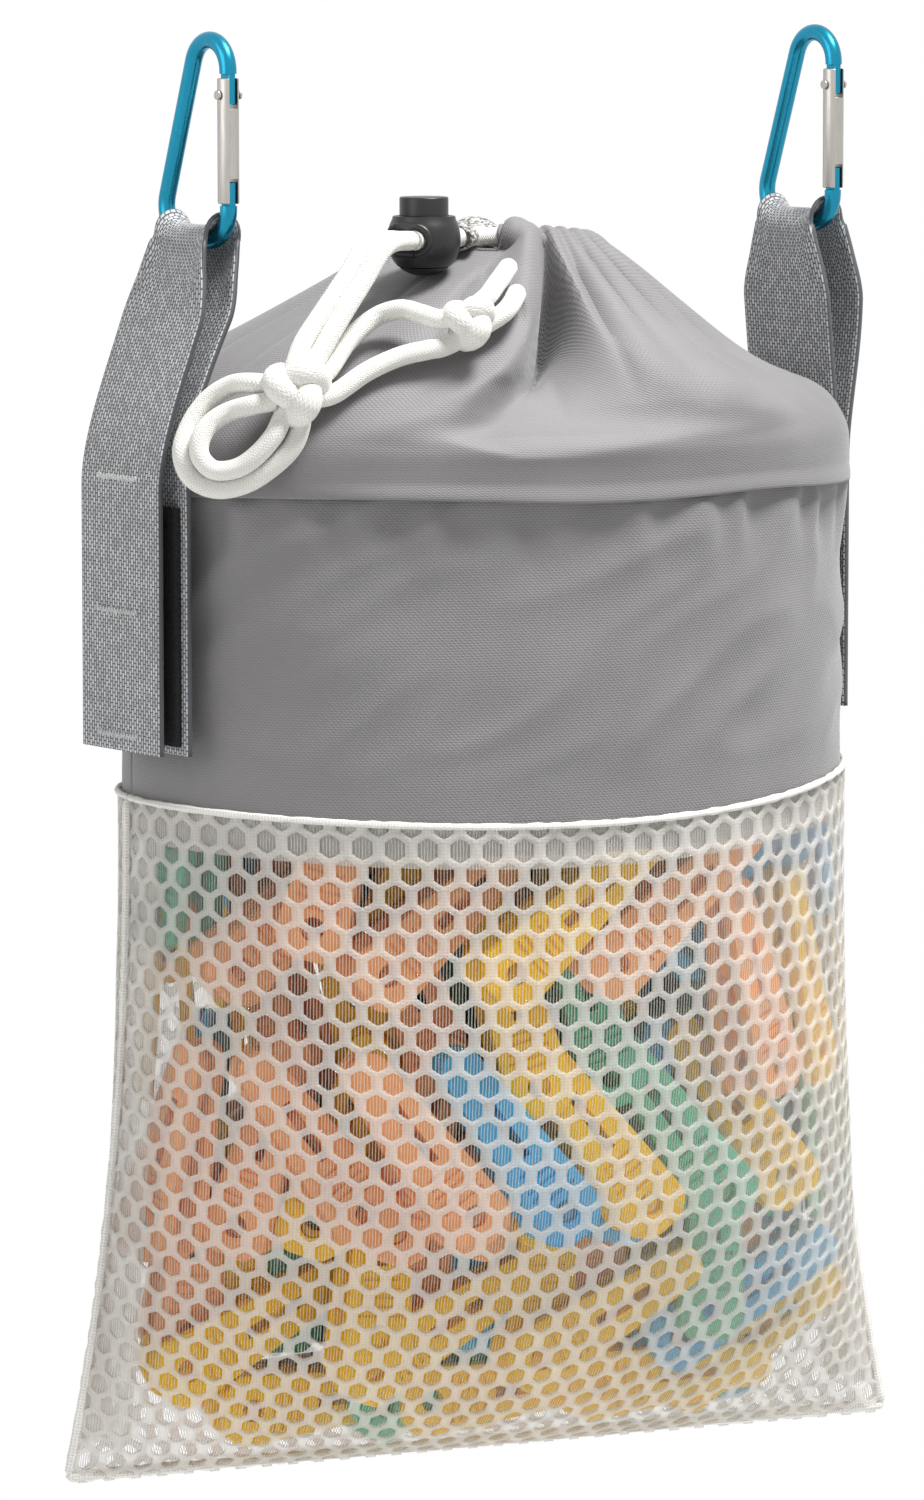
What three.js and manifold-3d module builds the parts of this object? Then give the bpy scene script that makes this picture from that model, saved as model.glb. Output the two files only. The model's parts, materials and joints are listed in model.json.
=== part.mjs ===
// Peg bag: a drawstring cloth bag with a net lower half, full of clothes pegs. It hangs from a clothes line
// by two webbing straps, each on a spring-gate carabiner, and a sprung cord lock holds its neck shut.
// Millimetres, +Z up, X across the bag, -Y to the front. The origin is on the axis of the line.

import * as THREE from "three";
import { mergeVertices } from "three/addons/utils/BufferGeometryUtils.js";
import Module from "manifold-3d";

const wasm = await Module();
wasm.setup();

// Clearance between pieces that touch, and how far fused shapes reach into each other
const CLEARANCE = 0.3;
const FUSE = 0.6;

// Heights of the bag, measured from the line
const NECK_Z = -50;
const HEM_Z = -120;
const NET_TOP_Z = -210;
const BOTTOM_Z = -400;

// Cross-sections of the bag
const HALF_WIDTH = 108;
const HALF_DEPTH = 74;
const SEAM_HALF_WIDTH = 127;
const CLOTH = 0.8;
const NET = 0.9;
const SEAM_OVERLAP = 8;
const FULLNESS = 3;
const ROUNDNESS = 1.8;
const SIDE_PINCH = 0.9;

// Gathered neck, which sits a little to the right of the bag's middle
const PLEATS = 14;
const PLEAT_DEPTH = 2.4;
const NECK_RADIUS = 22;
const NECK_X = 8;

// Drawcord and its lock
const CORD = 5.5;
const CORD_BEND = 11;
const CASING_WALL = 0.8;
const CASING_SLACK = 0.3;
const CORD_EXIT_ANGLE = THREE.MathUtils.degToRad(215);
const LOCK_DISTANCE = 45;
const LOCK_DIAMETER = 20.5;
const LOCK_SQUARENESS = 2.6;
const LOCK_TOP = 7.2;
const PLUNGER_DIAMETER = 14;
const PLUNGER_HEAD = 5.5;
const PLUNGER_TRAVEL = 3.2;
const PLUNGER_FLOOR = 1.2;
const LOCK_SLIDE = 9;

// Hangers: where each carabiner sits on the line, and the turn that lays its strap flat on the bag's side
const LEFT_HANGER = { name: "left", side: -1, x: -88, y: -15 };
const RIGHT_HANGER = { name: "right", side: 1, x: 111, y: 18 };
const HANGER_TURN = THREE.MathUtils.degToRad(15);
const LINE_DIAMETER = 6;

// Carabiner
const CARABINER_LENGTH = 60;
const ROD = 4.8;
const BOW_RADIUS = 8.5;
const BASE_RADIUS = 9;
const BASE_FLAT = 12;
const GATE_DIAMETER = 6;
const GATE_TOP = 10.3;
const GATE_LENGTH = 34.5;
const TONGUE = 2.2;
const TONGUE_WIDTH = 4.2;
const TONGUE_LENGTH = 8.5;
const RIVET = 1.6;
const RIVET_DROP = 4.6;
const RIVET_HEAD = 2.6;
const GATE_SPRING = 2.5;
const GATE_SPRING_WIRE = 0.45;
const GATE_SPRING_LENGTH = 13;
const NOSE_LENGTH = 6.6;

// Webbing straps and their hook-and-loop tape
const STRAP_WIDTH = 38;
const STRAP_THICKNESS = 1.3;
const STRAP_LENGTH = 141;
const STRAP_PINCH = 20;
const STRAP_FLARE = 30;
const STRAP_GAP = 5.4;
const STRAP_SKEW = 4;
const LOOP_HALF_WIDTH = 6.3;
const TAPE_WIDTH = 32;
const TAPE_LENGTH = 66;
const TAPE_THICKNESS = 1.4;
const TAPE_INSET = 2.5;

// Pegs
const PEG_LENGTH = 66;
const PEG_WIDTH = 21;
const PEG_JAW_WIDTH = 12;
const PEG_LEVER = 4.2;
const PEG_SPREAD = 18;
const PEG_JAW = 9.4;
const PEG_SPRING = 6;
const PEG_ROW_GAP = 0.6;
const PEG_CORNER = 5;
const PEG_JAW_CORNER = 3;

const finish = (color, roughness, metalness = 0) =>
  new THREE.MeshStandardMaterial({ color, roughness, metalness });
const GREY_CLOTH = finish(0x918f90, 0.7);
const WHITE_NET = finish(0xe9e7e2, 0.85);
const WEBBING = finish(0x84868a, 0.6);
const BLACK_TAPE = finish(0x191919, 0.95);
const WHITE_CORD = finish(0xf2f1ec, 0.8);
const BLACK_PLASTIC = finish(0x1c1c1d, 0.45);
const SPRING_STEEL = finish(0xb9bbbe, 0.3, 1);
const TEAL_ALUMINIUM = finish(0x2f8fa8, 0.25, 1);
const PLAIN_ALUMINIUM = finish(0xb8b6b2, 0.4, 1);
const PEG_COLOURS = {
  yellow: finish(0xe8b52c, 0.5),
  peach: finish(0xefa67c, 0.5),
  green: finish(0x7fc3ae, 0.5),
  blue: finish(0x7cc4dc, 0.5),
};

// Geometry helpers

function solid(geometry) {
  const bare = geometry.clone();
  bare.deleteAttribute("normal");
  bare.deleteAttribute("uv");
  const merged = mergeVertices(bare, 1e-4);
  const corners = Array.from(merged.index.array);
  const faces = [];
  for (let i = 0; i < corners.length; i += 3) {
    const [a, b, c] = corners.slice(i, i + 3);
    if (a !== b && b !== c && c !== a) faces.push(a, b, c);
  }
  return new wasm.Manifold(
    new wasm.Mesh({
      numProp: 3,
      vertProperties: merged.attributes.position.array,
      triVerts: new Uint32Array(faces),
    }),
  );
}

function geometryOf(manifold) {
  const mesh = manifold.getMesh();
  const geometry = new THREE.BufferGeometry();
  geometry.setAttribute("position", new THREE.BufferAttribute(mesh.vertProperties, 3));
  geometry.setIndex(new THREE.BufferAttribute(mesh.triVerts, 1));
  geometry.computeVertexNormals();
  return geometry;
}

function join(...geometries) {
  return geometryOf(geometries.map(solid).reduce((a, b) => a.add(b)));
}

function cut(geometry, ...cutters) {
  return geometryOf(cutters.map(solid).reduce((a, b) => a.subtract(b), solid(geometry)));
}

function named(name, geometry, material) {
  const mesh = new THREE.Mesh(geometry, material);
  mesh.name = name;
  return mesh;
}

// A cylinder along an axis, centred on a point
function rod(diameter, length, axis, centre, sides = 16) {
  const geometry = new THREE.CylinderGeometry(diameter / 2, diameter / 2, length, sides);
  geometry.applyQuaternion(
    new THREE.Quaternion().setFromUnitVectors(new THREE.Vector3(0, 1, 0), axis.clone().normalize()),
  );
  return geometry.translate(centre.x, centre.y, centre.z);
}

// A tube of round section along a curve, with flat ends
function tube(curve, diameter, steps, sides = 8) {
  const section = new THREE.Shape();
  for (let i = 0; i < sides; i++) {
    const angle = (2 * Math.PI * i) / sides;
    const point = [(diameter / 2) * Math.cos(angle), (diameter / 2) * Math.sin(angle)];
    if (i) section.lineTo(...point);
    else section.moveTo(...point);
  }
  return new THREE.ExtrudeGeometry(section, { extrudePath: curve, steps, curveSegments: 1 });
}

// A flat 2D path placed in space: map turns its points into 3D ones
class PlacedCurve extends THREE.Curve {
  constructor(path, map) {
    super();
    this.path = path;
    this.map = map;
  }
  getPoint(t, target = new THREE.Vector3()) {
    const p = this.path.getPoint(t);
    return target.copy(this.map(p.x, p.y));
  }
}

class Helix extends THREE.Curve {
  constructor(radius, turns, from, to) {
    super();
    Object.assign(this, { radius, turns, from, to });
  }
  getPoint(t, target = new THREE.Vector3()) {
    const angle = 2 * Math.PI * this.turns * t;
    const height = THREE.MathUtils.lerp(this.from, this.to, t);
    return target.set(this.radius * Math.cos(angle), this.radius * Math.sin(angle), height);
  }
}

const hand = (points) => new THREE.CatmullRomCurve3(points.map((p) => new THREE.Vector3(...p)));

// A thin sheet as a closed solid. outer(u, v) gives its outer face for u and v from 0 to 1, and the inner
// face lies one thickness behind it. A ring closes on itself in u. limit may adjust an inner point.
function sheet({ outer, thickness, across, along, ring = false, limit = (p) => p }) {
  const columns = ring ? across : across + 1;
  const step = 1e-3;
  const grid = [[], []];
  for (let j = 0; j <= along; j++) {
    for (let i = 0; i < columns; i++) {
      const u = i / across;
      const v = j / along;
      const p = outer(u, v);
      const uBack = ring ? u - step : Math.max(0, u - step);
      const uNext = ring ? u + step : Math.min(1, u + step);
      const du = outer(uNext, v).sub(outer(uBack, v));
      const dv = outer(u, Math.min(1, v + step)).sub(outer(u, Math.max(0, v - step)));
      const normal = du.cross(dv).normalize();
      grid[0].push(p);
      grid[1].push(limit(p.clone().addScaledVector(normal, -thickness)));
    }
  }
  const count = grid[0].length;
  const at = (face, i, j) => face * count + j * columns + (i % columns);
  const faces = [];
  const quad = (a, b, c, d) => faces.push(a, b, c, a, c, d);
  for (let j = 0; j < along; j++) {
    for (let i = 0; i < across; i++) {
      quad(at(0, i, j), at(0, i + 1, j), at(0, i + 1, j + 1), at(0, i, j + 1));
      quad(at(1, i, j), at(1, i, j + 1), at(1, i + 1, j + 1), at(1, i + 1, j));
    }
  }
  for (let i = 0; i < across; i++) {
    quad(at(0, i, 0), at(1, i, 0), at(1, i + 1, 0), at(0, i + 1, 0));
    quad(at(0, i, along), at(0, i + 1, along), at(1, i + 1, along), at(1, i, along));
  }
  if (!ring) {
    for (let j = 0; j < along; j++) {
      quad(at(0, 0, j), at(0, 0, j + 1), at(1, 0, j + 1), at(1, 0, j));
      quad(at(0, across, j), at(1, across, j), at(1, across, j + 1), at(0, across, j + 1));
    }
  }
  const geometry = new THREE.BufferGeometry();
  const position = new Float32Array(grid.flat().flatMap((p) => [p.x, p.y, p.z]));
  geometry.setAttribute("position", new THREE.BufferAttribute(position, 3));
  geometry.setIndex(faces);
  geometry.computeVertexNormals();
  return geometry;
}

// Cloth of the bag

// Half-width, half-depth and the pinch of the side seams at a height of the net: h is 0 at the bottom seam
function netSection(h) {
  const below = 1 - Math.min(1, Math.max(0, h));
  return {
    halfWidth: HALF_WIDTH + (SEAM_HALF_WIDTH - HALF_WIDTH) * below ** 2.2,
    halfDepth: HALF_DEPTH * (1 - below ** FULLNESS) ** (1 / ROUNDNESS),
    pinch: 1 + SIDE_PINCH * below ** 3,
  };
}

const netHeight = (z) => (z - BOTTOM_Z) / (NET_TOP_Z - BOTTOM_Z);

// Half the depth inside the bag, from its middle plane to this far short of the wall's outer face
function insideDepth(x, z, short) {
  const { halfWidth, halfDepth, pinch } = netSection(netHeight(z));
  const share = Math.max(0, 1 - (x / (halfWidth - short)) ** 2);
  return Math.max(0, halfDepth - short) * share ** (pinch / 2);
}

// One half of the wall, front (side -1) or back (side 1): u runs across it, from seam to seam
function wallPoint(side, u, z, section, offset) {
  const angle = Math.PI * u;
  const seam = CLEARANCE / 2 + (NET * (section.pinch - 1)) / SIDE_PINCH;
  const depth = Math.max(0, section.halfDepth + offset - seam);
  const x = side * (section.halfWidth + offset) * Math.cos(angle);
  return new THREE.Vector3(x, side * (seam + depth * Math.sin(angle) ** section.pinch), z);
}

function keepSide(side) {
  return (p) => {
    p.y = side * Math.max(side * p.y, CLEARANCE / 2);
    return p;
  };
}

// The rows of a net panel stand closer towards the bottom seam
function netPanel(side) {
  return sheet({
    outer: (u, v) => {
      const h = v ** 2;
      return wallPoint(side, u, THREE.MathUtils.lerp(BOTTOM_Z, NET_TOP_Z, h), netSection(h), 0);
    },
    thickness: NET,
    across: 20,
    along: 12,
    limit: keepSide(side),
  });
}

// The cloth panel reaches down behind the net and up behind the hood
function clothPanel(side) {
  const section = { halfWidth: HALF_WIDTH, halfDepth: HALF_DEPTH, pinch: 1 };
  return sheet({
    outer: (u, v) => {
      const z = THREE.MathUtils.lerp(NET_TOP_Z - SEAM_OVERLAP, HEM_Z + SEAM_OVERLAP, v);
      return wallPoint(side, u, z, section, -NET - CLEARANCE);
    },
    thickness: CLOTH,
    across: 20,
    along: 3,
    limit: keepSide(side),
  });
}

const CASING_RADIUS = CORD / 2 + CASING_SLACK + CASING_WALL;
const HOOD_TOP_RADIUS = NECK_RADIUS + 0.8 * (CASING_RADIUS + CLEARANCE + CLOTH);
const HOOD_TOP_Z = NECK_Z - 0.6 * (CASING_RADIUS + CLEARANCE + CLOTH);

// The hood's hem lies over the cloth panels, which themselves lie inside the net
const HOOD_SKIRT = CLOTH - NET;

// Side view of the hood: x is 1 at the hem and 0 at the neck, y is 0 at the hem and 1 at the neck
const HOOD_PROFILE = new THREE.CubicBezierCurve(
  new THREE.Vector2(1, 0),
  new THREE.Vector2(1.08, 0.3),
  new THREE.Vector2(0.8, 0.58),
  new THREE.Vector2(0, 1),
);

function hoodPoint(u, v) {
  const angle = 2 * Math.PI * u;
  const p = HOOD_PROFILE.getPoint(v);
  const fold = PLEAT_DEPTH * 6.75 * v ** 2 * (1 - v) * Math.cos(PLEATS * angle);
  const reach = (half) => HOOD_TOP_RADIUS + (half + HOOD_SKIRT - HOOD_TOP_RADIUS) * p.x + fold;
  const x = NECK_X * (1 - p.x) + reach(HALF_WIDTH) * Math.cos(angle);
  const z = THREE.MathUtils.lerp(HEM_Z, HOOD_TOP_Z, p.y);
  return new THREE.Vector3(x, reach(HALF_DEPTH) * Math.sin(angle), z);
}

function hood() {
  return sheet({ outer: hoodPoint, thickness: CLOTH, across: 4 * PLEATS, along: 7, ring: true });
}

// Drawcord: a loop in the casing, whose two ends run out side by side through the lock

const OUT = new THREE.Vector3(Math.cos(CORD_EXIT_ANGLE), Math.sin(CORD_EXIT_ANGLE), 0);
const ASIDE = new THREE.Vector3(-OUT.y, OUT.x, 0);
const STRAND_OFFSET = (CORD + CLEARANCE) / 2;
const STRAND_END = LOCK_DISTANCE + LOCK_DIAMETER / 2 + LOCK_SLIDE;

function neckPoint(along, aside) {
  return new THREE.Vector3(NECK_X, 0, NECK_Z).addScaledVector(OUT, along).addScaledVector(ASIDE, aside);
}

function drawcord() {
  const aside = STRAND_OFFSET + CORD_BEND;
  const along = Math.sqrt((NECK_RADIUS + CORD_BEND) ** 2 - aside ** 2);
  const meet = Math.atan2(aside, along);
  const path = new THREE.Path();
  path.moveTo(STRAND_END, STRAND_OFFSET);
  path.lineTo(along, STRAND_OFFSET);
  path.absarc(along, aside, CORD_BEND, -Math.PI / 2, meet - Math.PI, true);
  path.absarc(0, 0, NECK_RADIUS, meet, 2 * Math.PI - meet, false);
  path.absarc(along, -aside, CORD_BEND, Math.PI - meet, Math.PI / 2, true);
  path.lineTo(STRAND_END, -STRAND_OFFSET);
  return tube(new PlacedCurve(path, neckPoint), CORD, 48);
}

// The casing: the tunnel round the neck, open where the two ends of the drawcord come out
function casing() {
  const ring = (radius, sides) => new THREE.TorusGeometry(NECK_RADIUS, radius, sides, 36);
  const mouth = new THREE.BoxGeometry(2 * CORD_BEND, 2 * (CORD + CORD_BEND), 2 * CASING_RADIUS - 1);
  mouth.translate(NECK_RADIUS - CORD / 2 + CORD_BEND, 0, 0);
  mouth.rotateZ(CORD_EXIT_ANGLE);
  return cut(ring(CASING_RADIUS, 8), ring(CASING_RADIUS - CASING_WALL, 8), mouth).translate(NECK_X, 0, NECK_Z);
}

// Cord lock, in its own frame: the strands run along X through the middle, and the plunger stands on Z

const BORE_WIDTH = 2 * CORD + 3 * CLEARANCE;
const BORE_HEIGHT = CORD + 2 * CLEARANCE;
const WINDOW_BOTTOM = -BORE_HEIGHT / 2;
const WINDOW_TOP = BORE_HEIGHT / 2 + PLUNGER_TRAVEL;
const PLUNGER_BOTTOM = WINDOW_BOTTOM - PLUNGER_FLOOR;
const WELL_BOTTOM = PLUNGER_BOTTOM - PLUNGER_TRAVEL - 0.5;

// A slot for the two strands, rounded like them, width across Y and height in Z, along X
function slot(width, bottom, top, length) {
  const outline = new THREE.Shape();
  const radius = BORE_HEIGHT / 2;
  outline.absarc(width / 2 - radius, top - radius, radius, 0, Math.PI / 2, false);
  outline.absarc(radius - width / 2, top - radius, radius, Math.PI / 2, Math.PI, false);
  outline.absarc(radius - width / 2, bottom + radius, radius, Math.PI, 1.5 * Math.PI, false);
  outline.absarc(width / 2 - radius, bottom + radius, radius, 1.5 * Math.PI, 2 * Math.PI, false);
  const geometry = new THREE.ExtrudeGeometry(outline, { depth: length, curveSegments: 3, bevelEnabled: false });
  geometry.translate(0, 0, -length / 2);
  geometry.rotateX(Math.PI / 2);
  return geometry.rotateZ(Math.PI / 2);
}

// The body is a ball with a fuller waist, cut flat on top
function lockBody() {
  const radius = LOCK_DIAMETER / 2;
  const full = (share) => Math.sign(share) * Math.abs(share) ** (2 / LOCK_SQUARENESS);
  const profile = [];
  for (let i = 0; i <= 12; i++) {
    const angle = (i / 12 - 0.5) * Math.PI;
    profile.push(new THREE.Vector2(radius * full(Math.cos(angle)), radius * full(Math.sin(angle))));
  }
  const ball = new THREE.LatheGeometry(profile, 20).rotateX(Math.PI / 2);
  const lid = new THREE.BoxGeometry(LOCK_DIAMETER, LOCK_DIAMETER, radius);
  lid.translate(0, 0, LOCK_TOP + radius / 2);
  const up = new THREE.Vector3(0, 0, 1);
  const depth = radius - WELL_BOTTOM;
  const well = rod(PLUNGER_DIAMETER + CLEARANCE, depth, up, new THREE.Vector3(0, 0, WELL_BOTTOM + depth / 2));
  return cut(ball, lid, well, slot(BORE_WIDTH, -BORE_HEIGHT / 2, BORE_HEIGHT / 2, 2 * LOCK_DIAMETER));
}

function lockPlunger() {
  const up = new THREE.Vector3(0, 0, 1);
  const top = WINDOW_TOP + PLUNGER_HEAD;
  const height = top - PLUNGER_BOTTOM;
  const stem = rod(PLUNGER_DIAMETER - CLEARANCE, height, up, new THREE.Vector3(0, 0, top - height / 2));
  return cut(stem, slot(BORE_WIDTH, WINDOW_BOTTOM, WINDOW_TOP, LOCK_DIAMETER));
}

function lockSpring() {
  const wire = 0.7;
  const from = WELL_BOTTOM + wire / 2 + CLEARANCE;
  const to = PLUNGER_BOTTOM - wire / 2 - CLEARANCE;
  return tube(new Helix(PLUNGER_DIAMETER / 3, 2.5, from, to), wire, 24, 5);
}

function cordLock() {
  const group = new THREE.Group();
  group.position.copy(neckPoint(LOCK_DISTANCE, 0));
  group.rotation.z = CORD_EXIT_ANGLE;
  group.add(named("cord_lock_body", lockBody(), BLACK_PLASTIC));
  group.add(named("cord_lock_plunger", lockPlunger(), BLACK_PLASTIC));
  group.add(named("cord_lock_spring", lockSpring(), SPRING_STEEL));
  return group;
}

// Free ends of the drawcord: two leads from the lock to a slip bow, the bow's two nested loops, and two tails
// to the knot at their ends. They lie on the hood, along points chosen by hand.

const CORD_ROUTES = {
  lead_front: [
    [-43.2, -39.5, -50],
    [-51.3, -45, -51],
    [-60, -50, -57.5],
    [-68, -54, -68.5],
    [-73.3, -55.5, -80.8],
  ],
  lead_rear: [
    [-46.5, -34.7, -50],
    [-55.2, -40.4, -50.2],
    [-65, -46, -55],
    [-74, -52, -66],
    [-79, -55.4, -79.4],
  ],
  bow_loop_outer: [
    [-89, -49.6, -87],
    [-93, -43.8, -88],
    [-98, -40, -92],
    [-103, -39.5, -98.5],
    [-106.5, -42, -106],
    [-104.5, -43.5, -112.8],
    [-98.5, -47, -116],
    [-91.5, -51, -114.5],
    [-85.3, -54.8, -110],
    [-80, -56.8, -104.5],
    [-76.9, -55.5, -98.6],
  ],
  bow_loop_inner: [
    [-89.6, -53, -92.8],
    [-94.4, -48, -94.7],
    [-99, -46, -98.5],
    [-102.5, -46.8, -103.2],
    [-102, -47.5, -107.8],
    [-97.5, -49.8, -110],
    [-92, -53, -108.5],
    [-88.2, -55.5, -104.5],
    [-84.7, -56.5, -100.5],
    [-82.8, -55.5, -97.5],
  ],
  tail_upper: [
    [-67.8, -52.5, -84],
    [-59.5, -46.5, -76.5],
    [-51, -44.5, -70.5],
    [-45, -48.5, -68],
    [-40.8, -53.5, -69],
    [-37.4, -57, -72],
  ],
  tail_lower: [
    [-67, -55.5, -90.2],
    [-57.5, -55.2, -84.5],
    [-48, -55.8, -80.5],
    [-40.5, -57.3, -78.8],
    [-34.2, -57.8, -77.4],
  ],
  tip_upper: [
    [-23, -57, -64.9],
    [-17, -51, -61],
    [-9.5, -42.5, -56.5],
  ],
  tip_lower: [
    [-20.4, -57.6, -70.6],
    [-15, -54.8, -67.5],
    [-9.3, -47.5, -63.3],
  ],
};

const BOW_KNOT = { centre: [-78, -55.5, -89], axis: [-0.2, 0, -0.98], radius: 9.5, turn: 4 };
const END_KNOT = { centre: [-28.5, -57.8, -71.5], axis: [0.882, 0, 0.471], radius: 6.4, turn: 3 };

// A knot as two turns of cord drawn tight, side by side round its axis
function knot({ centre, axis, radius, turn }) {
  const profile = new THREE.Path();
  profile.moveTo(0, -2 * turn);
  profile.lineTo(radius - turn, -2 * turn);
  profile.absarc(radius - turn, -turn, turn, -Math.PI / 2, Math.PI / 2, false);
  profile.absarc(radius - turn, turn, turn, -Math.PI / 2, Math.PI / 2, false);
  profile.lineTo(0, 2 * turn);
  const geometry = geometryOf(solid(new THREE.LatheGeometry(profile.getPoints(3), 12)));
  const up = new THREE.Vector3(0, 1, 0);
  geometry.applyQuaternion(new THREE.Quaternion().setFromUnitVectors(up, new THREE.Vector3(...axis).normalize()));
  return geometry.translate(...centre);
}

function freeCords() {
  const group = new THREE.Group();
  for (const [name, points] of Object.entries(CORD_ROUTES)) {
    const route = hand(points);
    const steps = Math.max(3, Math.round(route.getLength() / (1.6 * CORD)));
    group.add(named(`cord_${name}`, tube(route, CORD, steps), WHITE_CORD));
  }
  group.add(named("cord_bow_knot", knot(BOW_KNOT), WHITE_CORD));
  group.add(named("cord_end_knot", knot(END_KNOT), WHITE_CORD));
  return group;
}

// Carabiner, in its own frame: the origin is on the line, the ring lies in the YZ plane, the gate is on -Y

const BOW_TOP_Z = LINE_DIAMETER / 2 + ROD / 2;
const BOW_CENTRE_Z = BOW_TOP_Z - BOW_RADIUS;
const BASE_Z = BOW_TOP_Z - (CARABINER_LENGTH - ROD);
const CORNER_Z = BASE_Z + BASE_RADIUS;
const GATE_Y = -BOW_RADIUS;
const NOSE_CORNER_Y = GATE_Y + BASE_RADIUS;
const SPINE_CORNER_Y = NOSE_CORNER_Y + BASE_FLAT;
const BASE_Y = (NOSE_CORNER_Y + SPINE_CORNER_Y) / 2;
const GATE_TOP_Z = BOW_TOP_Z - GATE_TOP;
const GATE_BOTTOM_Z = GATE_TOP_Z - GATE_LENGTH;
const RIVET_Z = GATE_TOP_Z - RIVET_DROP;
const HINGE_SHOULDER_Z = RIVET_Z + Math.hypot(RIVET_DROP, GATE_DIAMETER / 2) + CLEARANCE;
const NOSE_SHOULDER_Z = GATE_BOTTOM_Z - 2 * CLEARANCE;
const TONGUE_END = TONGUE_LENGTH - (HINGE_SHOULDER_Z - RIVET_Z);
const SLOT_DEPTH = RIVET_DROP + Math.hypot(TONGUE_END, TONGUE_WIDTH / 2) + CLEARANCE;
const ALONG_LINE = new THREE.Vector3(1, 0, 0);

function carabinerRod() {
  const rise = new THREE.Vector2(-SPINE_CORNER_Y, BOW_CENTRE_Z - CORNER_Z);
  const lean = Math.asin((BASE_RADIUS - BOW_RADIUS) / rise.length());
  const spine = Math.atan2(-rise.x, rise.y) + lean;
  const path = new THREE.Path();
  path.moveTo(GATE_Y, HINGE_SHOULDER_Z);
  path.lineTo(GATE_Y, BOW_CENTRE_Z);
  path.absarc(0, BOW_CENTRE_Z, BOW_RADIUS, Math.PI, spine, true);
  path.absarc(SPINE_CORNER_Y, CORNER_Z, BASE_RADIUS, spine, -Math.PI / 2, true);
  path.absarc(NOSE_CORNER_Y, CORNER_Z, BASE_RADIUS, -Math.PI / 2, -Math.PI, true);
  path.lineTo(GATE_Y, NOSE_SHOULDER_Z);
  return tube(new PlacedCurve(path, (y, z) => new THREE.Vector3(0, y, z)), ROD, 44);
}

function tongue(fromZ, toZ) {
  const box = new THREE.BoxGeometry(TONGUE, TONGUE_WIDTH, Math.abs(toZ - fromZ));
  return box.translate(0, GATE_Y, (fromZ + toZ) / 2);
}

function carabinerFrame() {
  const hinge = tongue(HINGE_SHOULDER_Z + FUSE, HINGE_SHOULDER_Z - TONGUE_LENGTH);
  const nose = tongue(NOSE_SHOULDER_Z - FUSE, NOSE_SHOULDER_Z + NOSE_LENGTH);
  const pivot = new THREE.Vector3(0, GATE_Y, RIVET_Z);
  const hole = rod(RIVET + CLEARANCE, 2 * GATE_DIAMETER, ALONG_LINE, pivot, 12);
  return cut(join(carabinerRod(), hinge, nose), hole);
}

function carabinerGate() {
  const up = new THREE.Vector3(0, 0, 1);
  const barrel = rod(GATE_DIAMETER, GATE_LENGTH, up, new THREE.Vector3(0, GATE_Y, (GATE_TOP_Z + GATE_BOTTOM_Z) / 2));
  const slotWidth = TONGUE + 2 * CLEARANCE;
  const hingeSlot = new THREE.BoxGeometry(slotWidth, 2 * GATE_DIAMETER, 2 * SLOT_DEPTH);
  hingeSlot.translate(0, GATE_Y, GATE_TOP_Z);
  const noseSlot = new THREE.BoxGeometry(slotWidth, 2 * GATE_DIAMETER, 2 * (NOSE_LENGTH + CLEARANCE));
  noseSlot.translate(0, GATE_Y, GATE_BOTTOM_Z);
  const pivot = new THREE.Vector3(0, GATE_Y, RIVET_Z);
  const hole = rod(RIVET + 2 * CLEARANCE, 2 * GATE_DIAMETER, ALONG_LINE, pivot, 12);
  const boreLength = GATE_SPRING_LENGTH + 2 * CLEARANCE;
  const boreTop = GATE_TOP_Z - SLOT_DEPTH + FUSE;
  const bore = rod(
    GATE_SPRING + 2 * CLEARANCE,
    boreLength + FUSE,
    up,
    new THREE.Vector3(0, GATE_Y, boreTop - (boreLength + FUSE) / 2),
    12,
  );
  return cut(barrel, hingeSlot, noseSlot, hole, bore);
}

function gateRivet() {
  const pivot = new THREE.Vector3(0, GATE_Y, RIVET_Z);
  const headLength = 0.6;
  const shank = GATE_DIAMETER + 2 * CLEARANCE;
  const parts = [rod(RIVET, shank + headLength, ALONG_LINE, pivot, 12)];
  for (const end of [-1, 1]) {
    const centre = pivot.clone().addScaledVector(ALONG_LINE, (end * (shank + headLength)) / 2);
    parts.push(rod(RIVET_HEAD, headLength, ALONG_LINE, centre, 12));
  }
  return join(...parts);
}

function gateSpring() {
  const radius = (GATE_SPRING - GATE_SPRING_WIRE) / 2;
  const top = GATE_TOP_Z - SLOT_DEPTH - GATE_SPRING_WIRE / 2;
  const bottom = top - GATE_SPRING_LENGTH + GATE_SPRING_WIRE;
  return tube(new Helix(radius, 5, bottom, top), GATE_SPRING_WIRE, 40, 5).translate(0, GATE_Y, 0);
}

// Strap, in the carabiner's frame: one length of webbing folded over the base bar, the inner strand lying on
// the bag and the outer one hanging beside it

// How far the bag's side reaches out past the base bar, for an oval of this half-width and half-depth
function sideReach({ side, x, y }, halfWidth, halfDepth) {
  const normal = new THREE.Vector2(Math.cos(HANGER_TURN), Math.sin(HANGER_TURN));
  const oval = Math.hypot(halfWidth * normal.x, halfDepth * normal.y);
  return oval - side * (x * normal.x + y * normal.y);
}

const HOOD_BULGE = 1.5;

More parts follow.
